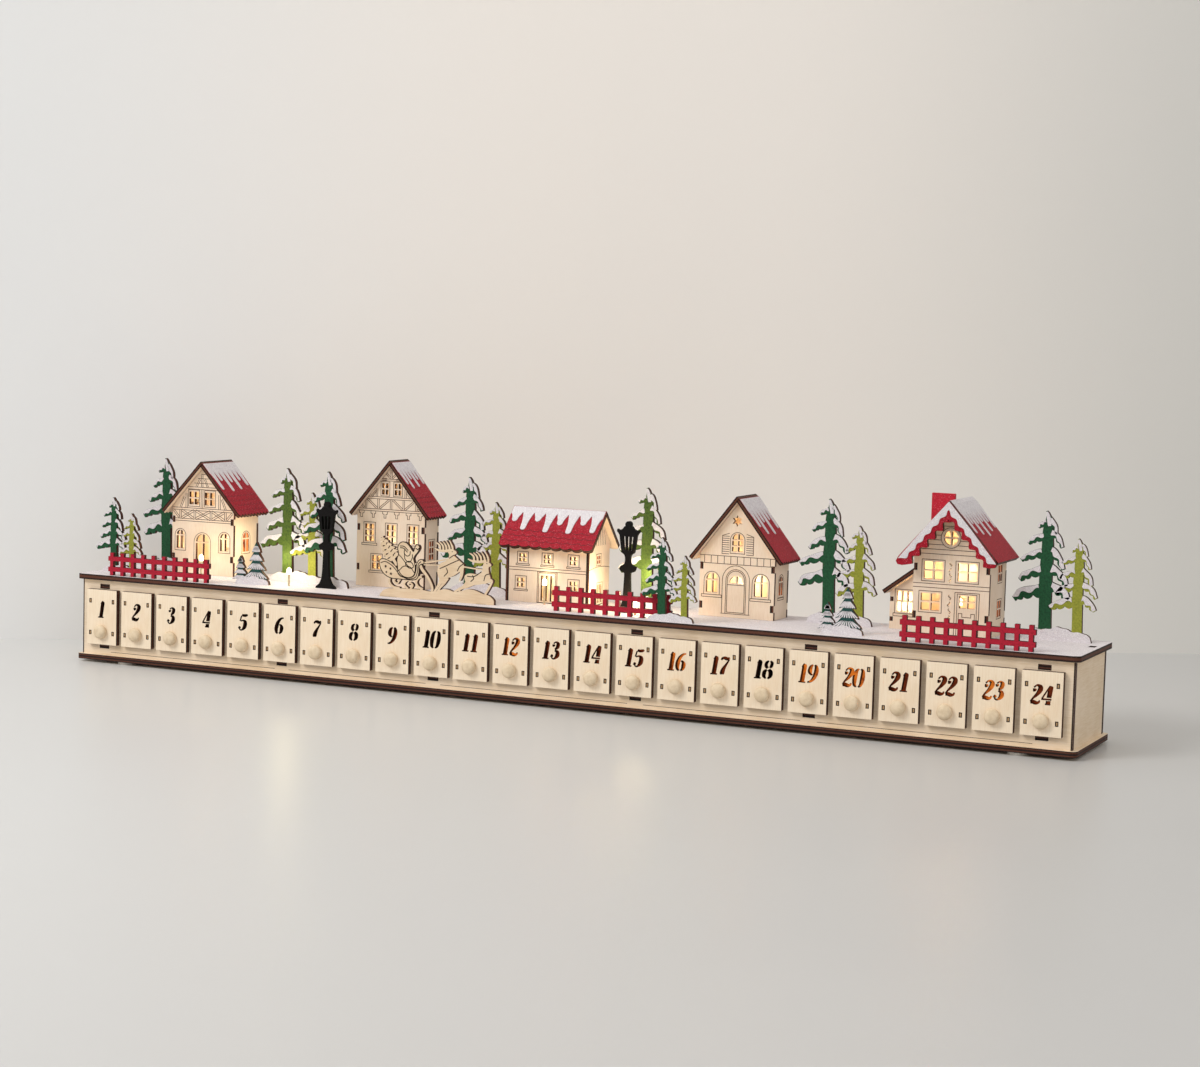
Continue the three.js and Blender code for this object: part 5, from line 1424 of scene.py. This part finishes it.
# Snow bank along a board's foot: height times sin(pi * share) to a low power, so that it swells fast at
# both ends, times a roll of two slow waves
def bankRing(x0, x1, height):
    share = np.linspace(0, 1, 48)
    swell = np.sin(math.pi * share) ** 0.36
    roll = 1 + 0.1 * np.sin(5 * math.pi * share + 0.6) + 0.04 * np.sin(13 * math.pi * share)
    return np.column_stack([x1 - (x1 - x0) * share, np.maximum(height * swell * roll * 0.95, 0)])


firLook = {"height": 84, "gap": 21.4, "lightShare": 0.8, "pairBank": (15, 10, 8.5), "bank": (-16, 17, 8),
           "snowPly": 0.35, "snowSunk": 0.05, "bankProud": 0.02}
firBoards = {
    "small_firs_left": {"x": -363.9, "y": -20, "height": 56, "pair": True},
    "fir_left": {"x": -351.5, "y": 30, "height": 84},
    "firs_house_1": {"x": -225, "y": 2, "height": 84, "pair": True, "paint": 3},
    "fir_house_2": {"x": -184, "y": -8, "height": 84},
    "firs_house_3": {"x": -83.6, "y": 21, "height": 84, "pair": True},
    "fir_lamp": {"x": 57, "y": 19, "height": 84, "paint": 3},
    "small_firs_middle": {"x": 94.8, "y": -41, "height": 56, "pair": True},
    "firs_house_4": {"x": 191.5, "y": 17, "height": 84, "pair": True},
    "firs_right": {"x": 337.8, "y": 25, "height": 84, "pair": True},
}


# One or two firs cut with their snow bank from one board; the second one is shorter and light green
def addFir(node, look, index):
    scale = look["height"] / firLook["height"]
    plane = villagePlane(frontPlane, look["x"], look["y"] + figurePly)
    # A paint of 3 gives the first fir the olive finish, which is painted warm light from a nearby bulb
    firs = [(0.0, look["height"], look.get("paint", 0))]
    bank = bankRing(*firLook["bank"])
    if look.get("pair"):
        gap = firLook["gap"] * (0.3 + 0.7 * scale)
        firs.append((gap, look["height"] * firLook["lightShare"], 1))
        left, right, high = (value * scale for value in firLook["pairBank"])
        bank = bankRing(-left, gap + right, high)
    solids = []
    for centre, height, kind in firs:
        outers, snow = firShapes(centre, height, phase=index + centre)
        solids.append(cutBoard(outers, [bank], figurePly, plane, kind))
        solids += [noRim(cutBoard([ring], [], firLook["snowPly"], plane, 2, figurePly - firLook["snowSunk"]))
                   for ring in snow]
    solids.append(cutBoard([bank], [], figurePly + firLook["bankProud"], plane, (2, 0, 2)))
    addPiece(f"{node}Board", "case", solids, [firGreen, firLime, snowPaint, firBulbLitOlive], 0.0, replaces=[node])


for index, (node, look) in enumerate(firBoards.items()):
    addFir(node, look, index)


twinLook = {"firs": ((4, 20.5, 6.6), (17.5, 31, 10.2)), "bank": (0, 28.5, 6), "strokes": 9, "strokePly": 0.25,
            "sunk": 0.05, "low": -0.1}


# Two little blue-green firs on a bank: ragged tiers that narrow upwards, each with a fan of white strokes
def addTwins(name, x, y):
    look = twinLook
    plane = villagePlane(frontPlane, x, y + figurePly, look["low"])
    solids = []
    for centre, height, half in look["firs"]:
        tiers = [(height * (0.16 + 0.62 * tier / 3), half * (1 - 0.66 * tier / 3)) for tier in range(4)]
        right = [(1.4, 0), (1.2, height * 0.14)]
        for z, spread in tiers:
            right += [(spread * 0.45, z), (spread, z - height * 0.03), (spread * 0.82, z + height * 0.05),
                      (spread * 0.62, z + height * 0.1)]
        left = [(-across, z) for across, z in right][::-1]
        ring = np.array([*right, (0, height), *left]) + [centre, 0]
        solids.append(cutBoard([ring], [], figurePly, plane))
        for z, spread in tiers:
            for fan in np.linspace(-0.95, 0.95, look["strokes"]):
                foot = np.array([centre + fan * spread * 0.95, z - height * 0.01 * (1 - abs(fan))])
                head = np.array([centre + fan * spread * 0.35, z + height * 0.13])
                stroke = band([(*foot, 0.36), (*((foot + head) / 2), 0.44), (*head, 0.12)], 2)
                level = figurePly - look["sunk"]
                solids.append(noRim(cutBoard([stroke], [], look["strokePly"], plane, 1, level)))
    solids.append(cutBoard([bankRing(*look["bank"])], [], figurePly + look["sunk"], plane, (1, 0, 1)))
    addPiece(name, "case", solids, [tealFir, snowPaint], 0.0)


addTwins("twinFirs_1", -251.8, -25)
addTwins("twinFirs_2", 204.6, -31)
print("firs done")


# Fences, lamps and sleigh

fenceLook = {"length": 86, "height": 17, "count": 10, "picket": 3.1, "rail": 3.5, "overrun": 1.5,
             "rails": (0.17, 0.63), "bevel": 0.18,
             "places": ((-308.4, -41.5), (54.4, -33.5), (305.8, -41.5))}


# Pickets one pitch apart, centred, and two rails across them, cut from one board
def addFence(node, x, y):
    look = fenceLook
    high, thin = look["height"], look["picket"] / 2
    last = (look["count"] - 1) / 2
    pitch = (look["length"] - look["picket"]) / (look["count"] - 1)
    rings = [rectangle((i - last) * pitch - thin, (i - last) * pitch + thin, 0, high)
             for i in range(look["count"])]
    half = look["length"] / 2 + look["overrun"]
    rings += [rectangle(-half, half, high * share, high * share + look["rail"]) for share in look["rails"]]
    board = cutBoard(rings, [], figurePly, villagePlane(frontPlane, x, y + figurePly))
    addPiece(f"{node}Board", "case", [board], [fenceRed], look["bevel"], replaces=[node])


for index, (x, y) in enumerate(fenceLook["places"]):
    addFence(f"fence_{index + 1}", x, y)


# Street lamp: half widths up the post, which is a curve, and up the lantern's straight-edged roof
lampLook = {
    "post": ((8.1, 0), (7.6, 1.4), (5.4, 3), (4.4, 4.6), (3.4, 7), (2.7, 12), (2.3, 20), (2.1, 26.6),
             (3.0, 27.8), (4.8, 28.4), (5.6, 29.6), (5.8, 30.8), (5.2, 32), (3.4, 33), (2.0, 34.4),
             (1.9, 38.4), (3.0, 40.4), (4.6, 41.6), (5.4, 46), (6.4, 53.2)),
    "roof": ((7.0, 54.2), (8.4, 55.8), (8.2, 57.4), (6.6, 56.4), (4.2, 57.6), (3.0, 59.2), (1.4, 60)),
    "ball": (0, 60.7, 2.3), "panes": (-3, 0, 3), "paneLow": (0.75, 43), "paneHigh": (0.95, 52.4),
    "footShare": 0.75, "bevel": 0.12, "places": ((-181, -16.2), (57, -14)),
}


# The lamp's silhouette mirrored about its middle, with three panes that lean outwards as they rise
def addLamp(node, x, y):
    look = lampLook
    ball = arc(*look["ball"], -0.75, math.pi / 2, 10)
    right = np.concatenate([spline(look["post"], 3, closed=False), look["roof"], ball])
    ring = np.concatenate([right, (right * [-1, 1])[::-1][1:]])
    (low, foot), (high, head) = look["paneLow"], look["paneHigh"]
    gaps = [np.array([[c * look["footShare"] - low, foot], [c * look["footShare"] + low, foot],
                      [c + high, head], [c - high, head]]) for c in look["panes"]]
    board = cutBoard([ring], gaps, figurePly, villagePlane(frontPlane, x, y + figurePly))
    addPiece(f"{node}Board", "case", [board], [lampBlack], look["bevel"], replaces=[node])


for index, (x, y) in enumerate(lampLook["places"]):
    addLamp(f"street_lamp_{index + 1}", x, y)
print("lamps done")


# Sleigh with a driver, a little fir and two leaping reindeer, cut as one raw board on a hilly strip
sleighLook = {
    "x": -80.5, "y": -31.5, "line": 0.6,
    "hills": [(45, 0.4), (44.6, 3.6), (41, 6.4), (36, 7.4), (30, 9.4), (24.5, 9.8), (19, 8.2), (14, 7.2),
              (9, 8.4), (5, 8.4), (0, 6.8), (-5, 6), (-13, 6.8), (-24, 6.8), (-38, 6), (-43, 4.4),
              (-46, 1.2)],
    "stars": ((-41.6, 21.4, 1.3), (-37.8, 20, 1.1), (-41, 17.4, 1.0), (-37.2, 16.4, 1.2)),
    "eyes": ((11.4, 35.2, 0.38), (38.8, 28.7, 0.38)),
    "antlers": ((9.8, 36.2, 12.4, 6.2), (37.8, 30.4, 14, 6)),
    "slits": ((-128, -113), (-94, -65), (-49, -42)), "slitBack": 0.5, "slitWide": 0.5,
}
sleighShapes = {
    "hull": [(-47, 24), (-46, 26.2), (-42.5, 26.6), (-38, 25), (-34.5, 22.8), (-31.5, 19.6), (-29, 16.4),
             (-25.5, 14.8), (-21.5, 14.8), (-18.6, 16.4), (-17.2, 20), (-16.8, 24), (-15.4, 27), (-13, 28.2),
             (-11, 27), (-11.2, 25.2), (-13, 24.8), (-14.6, 23.2), (-14.8, 18.6), (-16.4, 14.2), (-21, 13.2),
             (-33, 13.2), (-38.5, 13.8), (-43, 16.2), (-45.6, 19.6)],
    "driver": [(-31.4, 17), (-32, 22), (-32.6, 27), (-31.4, 31), (-32.2, 35), (-31, 38), (-28.4, 39.6),
               (-25, 39), (-22.8, 37), (-20.8, 34.6), (-19.4, 33.4), (-18.6, 35.8), (-17.4, 38), (-15.4, 38),
               (-14.6, 35.8), (-16, 33), (-18.2, 30.4), (-19.2, 28), (-18.4, 25.4), (-17.8, 21), (-19, 16.4),
               (-23, 14.6), (-28, 14.8)],
    "near": [(0, 19.6), (0.6, 24), (2.8, 26.8), (6.4, 28.4), (8.4, 30.4), (9, 33), (8, 35), (10.2, 36.8),
             (12.4, 36.6), (14.6, 35.4), (14.6, 34), (12.8, 32.8), (14.4, 31.4), (18, 28.8), (20.8, 26.4),
             (20.4, 23.6), (17.6, 21.6), (13, 18.4), (8, 16.4), (4.4, 14.8), (1.6, 15.6)],
    "far": [(21.6, 16.4), (22, 19.4), (25.6, 21), (32.4, 20.8), (35.4, 23.4), (35.6, 27), (37.4, 29.8),
            (39.6, 29.9), (42, 28.6), (42, 27.2), (40.2, 26), (40.6, 22.4), (41.8, 18.8), (40.6, 15.6),
            (35, 14), (29, 13), (24.4, 13)],
}
sleighLegs = [
    [(4.6, 17.4, 3), (2.2, 12.6, 1.3), (-0.4, 8.6, 0.9), (-2.6, 5.4, 0.8)],
    [(7, 17, 2.4), (5, 12.4, 1.1), (2.4, 9.4, 0.8), (0.4, 6.4, 0.8)],
    [(18.8, 24, 2), (19.2, 19.4, 1.1), (17.8, 15.4, 0.7)],
    [(25.6, 15.6, 2.6), (21.4, 11.6, 1.2), (17.4, 9.4, 0.8), (13.8, 7.2, 0.8)],
    [(28, 14.6, 2), (23.4, 11.4, 0.9), (19.4, 10, 0.7), (17, 8, 0.7)],
    [(39.4, 17, 2), (43, 16.6, 0.9), (40.8, 11.6, 0.8), (38, 7, 0.8)],
]
sleighCurls = [
    [(-14.6, 25.6, 1.1), (-12.4, 21.4, 1.1), (-8.6, 17.2, 1.0), (-5.4, 12.6, 0.9), (-3.8, 8.6, 0.9),
     (-4.2, 6, 0.9)],
    [(-12.4, 16, 0.9), (-15.2, 14.8, 0.8), (-16.8, 11.8, 0.8), (-15.2, 8.8, 0.8), (-11.4, 7, 0.9)],
    [(-38.2, 14.2, 0.8), (-38.4, 10.4, 0.8), (-35.4, 7.4, 0.8), (-30, 6.6, 0.7)],
    [(-33.6, 13.6, 0.6), (-34.4, 11.4, 0.6), (-32, 9.8, 0.6), (-30.6, 11.8, 0.6), (-29, 13.6, 0.6)],
    [(-20.2, 13.4, 0.7), (-24.6, 12.4, 0.7), (-26.4, 9.4, 0.7), (-23.4, 6.8, 0.7)],
    [(-21.4, 6.6, 0.7), (-19.6, 9.4, 0.7), (-21.8, 11, 0.6), (-23, 9.4, 0.4)],
]
sleighReins = [
    [(-20, 24.2, 0.5), (-11, 26, 0.5), (2, 28.4, 0.5), (9.4, 30, 0.5)],
    [(-11, 24.6, 0.4), (2, 25.2, 0.4), (10, 26.6, 0.4)],
    [(19, 25.4, 0.5), (28, 24.6, 0.45), (37, 24, 0.5)],
]
sleighLines = [
    [(-45.6, 23.8), (-42, 24.8), (-38, 23.2), (-34.8, 21), (-31.6, 17.6), (-29, 14.9)],
    [(-28.8, 16), (-25, 13.9), (-20.6, 14), (-17.2, 15.6), (-15.8, 20), (-15.4, 24.4), (-13.4, 26.6)],
    [(-31.6, 30.8), (-28.8, 28.4), (-25.4, 24.6), (-23, 22)],
    [(-30.2, 36.6), (-27, 36.4), (-23.8, 33.8)], [(-30, 35.4), (-27.2, 35), (-24.4, 32.6)],
    [(-26.4, 34.8), (-26.8, 31.8), (-24.6, 29.8), (-22.4, 30.8), (-22, 33.2)],
    [(-26.8, 31.8), (-26, 27.4), (-22.6, 25.6), (-20.4, 28.4), (-20.2, 31)],
    [(-25.6, 25), (-22.8, 26.2), (-20, 24.6), (-19.4, 22.2), (-22.2, 21.4), (-25.2, 23), (-25.6, 25)],
    [(-30.6, 19.4), (-27, 22.4), (-22, 22.2), (-18.6, 18.6)], [(-17.6, 35.6), (-16, 35), (-15, 36)],
    [(2, 22.8), (6, 24.6), (10.8, 27), (16.6, 29.6)], [(12.6, 32.8), (9.4, 30.6)],
    [(15.8, 22), (17.4, 25), (20, 27)], [(23.8, 18.8), (29, 19), (34.6, 22.6)],
    [(36.8, 16.6), (38, 20.4), (40.8, 21.6)],
    [(5.4, 17.6), (8, 20.6), (7, 23.4)], [(26.6, 15.4), (28.8, 17.6), (27.8, 19.6)],
]


# Antler: a beam swept back from the head, and tines that stand at shares of it and lean back as they rise
def antler(x, z, reach, tall):
    beam = [(x + 0.6, z, 1.0), (x - reach * 0.35, z - 0.9, 0.9), (x - reach * 0.75, z - 0.6, 0.7),
            (x - reach, z + 0.6, 0.3)]
    tines = []
    for share in (-0.1, 0.1, 0.3, 0.5, 0.7):
        back = x - reach * share
        tines.append([(back + 0.8, z - 0.6, 0.75), (back + 0.2, z + tall * 0.45, 0.72),
                      (x - reach * share * 1.08 - 2.2, z + tall * (1.08 - 0.42 * share), 0.28)])
    return [band(beam, 5)] + [band(tine, 4) for tine in tines]


# Little fir leaning out of the sleigh: a stem with pairs of needles' sprigs
def sprigs():
    foot, head = np.array([-32.6, 22.6]), np.array([-43.6, 38.6])
    rings = [band([(*foot, 1.2), (*((foot + head) / 2), 0.9), (*head, 0.5)], 3)]
    ahead = (head - foot) / np.linalg.norm(head - foot)
    side = np.array([-ahead[1], ahead[0]])
    for step in range(5):
        base = foot + (head - foot) * (0.28 + 0.16 * step)
        long = 9.2 - 1.3 * step
        for turn in (1, -1):
            tip = base + side * turn * long * 0.85 - ahead * long * (0.12 if turn > 0 else 0.02)
            middle = (base + tip) / 2 + ahead * 1.3
            rings.append(band([(*base, 0.9), (*middle, 1.2), (*tip, 0.35)], 4))
            spur = middle + side * turn * long * 0.1 + ahead * long * 0.3
            rings.append(band([(*middle, 0.8), (*spur, 0.3)]))
    return rings + [starRing(-44.4, 40.4, 2.4)]


# The cut board, its engraved lines, and the slots that show beside its foot
def addSleigh():
    look = sleighLook
    x, y = look["x"], look["y"]
    strip = np.concatenate([[[-46, 0], [45, 0]], spline(look["hills"], 6, closed=False)])
    shapes = {name: spline(points, 5) for name, points in sleighShapes.items()}
    bands = [band(line, 6) for line in sleighLegs + sleighCurls] + [band(line, 4) for line in sleighReins]
    horns = [ring for head in look["antlers"] for ring in antler(*head)]
    holes = [starRing(*spot) for spot in look["stars"]]
    holes += [arc(*eye, 0, 2 * math.pi, 8)[:-1] for eye in look["eyes"]]
    board = cutBoard([strip, *shapes.values(), *bands, *horns, *sprigs()], holes, figurePly,
                     villagePlane(frontPlane, x, y + figurePly))
    addPiece("sleighBoard", "case", [board], [sleighWood], 0.0, replaces=["sleigh"])
    lines = [ringLine(shapes[name]) for name in ("hull", "driver")]
    lines += [spline(line, 5, closed=False) for line in sleighLines]
    addPiece("sleighLines", "case", strips(lines, look["line"], villagePlane(frontPlane, x, y)), [jointLine])
    level = y - look["slitBack"]
    slits = strips([np.array([[start, level], [end, level]]) for start, end in look["slits"]],
                   look["slitWide"], villagePlane(topPlane, 0, 0))
    addPiece("sleighSlits", "case", slits, [jointLine])


addSleigh()
print("sleigh done")


# Stage, camera and light

# The floor's and the wall's drifts in tone are painted light: brighter where the lamps and bulbs light them,
# darker where the light falls off
stageLook = {
    "floor": (srgb(207, 207, 206), srgb(187, 186, 185), srgb(206, 204, 201)), "floorLightDrift": (-0.1, 0.55),
    "floorRough": 0.34, "floorGloss": 0.35, "floorMottle": 0.4, "floorDepth": 6,
    "wall": (srgb(231, 232, 233), srgb(248, 242, 236), srgb(215, 214, 210), srgb(224, 221, 216)),
    "wallLightDrift": ((-0.55, -0.12), (0.0, 0.42)), "wallRough": 0.9, "wallMottle": 0.25,
    "wallReach": 4, "wallHeight": 4.0, "wallFoot": ((-0.498, 0.0255), (0.336, 0.5335)),
    "azimuth": 24.82, "tilt": 4.985, "roll": 1.60, "lens": 74.613, "sensor": 36,
    "eye": (749.1, -1552.45, 267.5),
}


# Table top: paler at the left and darker to the right, painted light that falls off along the room, under a
# little mottling
def floorFinish():
    look = stageLook
    shader = Shader("table top")
    place = shader.place()
    floorLitTone, floorShadedTone, cloud = look["floor"]
    tone = shader.mix(floorLitTone, floorShadedTone, shader.axis(place, 0).step(*look["floorLightDrift"]))
    tone = shader.mix(tone, cloud, shader.noise(place, 3.0, 2.0) * look["floorMottle"])
    return shader.set(color=tone, rough=look["floorRough"], gloss=look["floorGloss"])


# Wall paint in three tones along the room: the warm, bright middle is painted glow of the bulbs and the
# darker right end is painted shade; seen from behind the wall is clear
def wallFinish():
    look = stageLook
    shader = Shader("wall paint")
    place = shader.place()
    left, middle, right, cloud = look["wall"]
    first, second = look["wallLightDrift"]
    # Painted light: from the left tone to the bulbs' warm glow in the middle, then to painted shade on the
    # right
    tone = shader.mix(left, middle, shader.axis(place, 0).step(*first))
    tone = shader.mix(tone, right, shader.axis(place, 0).step(*second))
    tone = shader.mix(tone, cloud, shader.noise(place, 1.2, 2.0) * look["wallMottle"])
    material = shader.set(color=tone, rough=look["wallRough"])
    clear = shader.node("ShaderNodeBsdfTransparent", {}, {})
    geometry = shader.node("ShaderNodeNewGeometry", {}, {})
    both = shader.node("ShaderNodeMixShader", {}, {
        0: Signal(shader, geometry.outputs["Backfacing"]), 1: Signal(shader, shader.surface.outputs[0]),
        2: Signal(shader, clear.outputs[0])})
    shader.feed(shader.tree.nodes["Material Output"].inputs[0], Signal(shader, both.outputs[0]))
    return material


# Floor and wall as plain sheets that meet along the wall's foot
def makeStage():
    look = stageLook
    start, end = (np.array([*foot, 0.0]) for foot in look["wallFoot"])
    along = (end - start) / np.linalg.norm(end - start)
    towards = np.array([along[1], -along[0], 0]) * look["floorDepth"]
    left, right = start - along * look["wallReach"], end + along * look["wallReach"]
    high = np.array([0, 0, look["wallHeight"]])
    sheets = {"floor": (floorFinish(), [left, left + towards, right + towards, right]),
              "wall": (wallFinish(), [left, right, right + high, left + high])}
    for name, (material, corners) in sheets.items():
        mesh = bpy.data.meshes.new(name)
        mesh.from_pydata([tuple(corner) for corner in corners], [], [(0, 1, 2, 3)])
        mesh.materials.append(material)
        made = bpy.data.objects.new(name, mesh)
        bpy.context.scene.collection.objects.link(made)


# Camera turned by azimuth, tilted down and rolled as the photograph's
def makeCamera():
    azimuth, tilt, roll = (math.radians(stageLook[key]) for key in ("azimuth", "tilt", "roll"))
    ahead = Vector((-math.sin(azimuth) * math.cos(tilt), math.cos(azimuth) * math.cos(tilt), -math.sin(tilt)))
    right = ahead.cross(Vector((0, 0, 1))).normalized()
    up = right.cross(ahead)
    rolledRight = right * math.cos(roll) + up * math.sin(roll)
    rolledUp = rolledRight.cross(ahead)
    data = bpy.data.cameras.new("camera")
    data.lens, data.sensor_width = stageLook["lens"], stageLook["sensor"]
    camera = bpy.data.objects.new("camera", data)
    matrix = Matrix((rolledRight, rolledUp, -ahead)).transposed().to_4x4()
    matrix.translation = Vector(stageLook["eye"]) * mm
    camera.matrix_world = matrix
    bpy.context.scene.collection.objects.link(camera)
    bpy.context.scene.camera = camera


# Lamp at a place in metres; with an aim it is turned to look at it
def addLight(name, kind, place, aim, power, size, color):
    data = bpy.data.lights.new(name, kind)
    data.energy = power
    data.color = color
    if kind == "AREA":
        data.size = size
    else:
        data.shadow_soft_size = size
    light = bpy.data.objects.new(name, data)
    light.location = place
    if aim:
        light.rotation_mode = "QUATERNION"
        light.rotation_quaternion = (Vector(aim) - Vector(place)).to_track_quat("-Z", "Y")
    bpy.context.scene.collection.objects.link(light)


# Each lamp: place, aim, power, size and colour
roomLamps = {
    "key": ((-1.6, -2.2, 2.2), (0, 0, 0.1), 62, 1.4, (1, 0.988, 0.97)),
    "fill": ((2.6, -2.0, 1.6), (0.2, 0, 0.1), 24, 2.4, (1, 0.99, 0.97)),
    "top": ((-0.4, 0.2, 3.2), (0, 0, 0), 30, 2.6, (1, 1, 1)),
}
roomLook = {"color": srgb(236, 234, 230), "power": 0.55}
# The bulbs' powers and lifts in their order; each spill: x, distance behind the deck's middle, height, power
ledLook = {
    "color": (1.0, 0.84, 0.5), "power": (0.024, 0.007, 0.02, 0.02, 0.0025, 0.026, 0.03, 0.024, 0.02, 0.03),
    "above": 4.5, "lift": (0, 0, 0, 0, 0, 0, 0, 0, 0, 16), "size": 0.002, "spillSize": 0.004,
    "spill": ((-258, 12, 24, 0.018), (31, 3, 15, 0.03), (60, 11, 24, 0.02), (-226, -6, 18, 0.01)),
}


# Place in the model of a light over the deck
def overDeck(x, y, height):
    return np.array([x, deckCentre + y, deckTop + height]) * mm


# Lamps of the room, the bulbs' own light, its spill on the snow, and the pale room itself
def makeLights():
    look = ledLook
    for name, (place, aim, power, size, color) in roomLamps.items():
        addLight(name, "AREA", place, aim, power, size, color)
    for index, (x, y, height) in enumerate(bulbs):
        spot = overDeck(x, y, height + look["above"] + look["lift"][index])
        addLight(f"led{index}", "POINT", spot, None, look["power"][index], look["size"], look["color"])
    for index, (x, y, height, power) in enumerate(look["spill"]):
        spot = overDeck(x, y, height)
        addLight(f"spill{index}", "POINT", spot, None, power, look["spillSize"], look["color"])
    world = bpy.data.worlds.new("world")
    world.use_nodes = True
    background = world.node_tree.nodes["Background"]
    background.inputs[0].default_value = roomLook["color"]
    background.inputs[1].default_value = roomLook["power"]
    bpy.context.scene.world = world
    bpy.context.scene.view_settings.view_transform = "Standard"


makeStage()
makeCamera()
makeLights()
print("stage done")
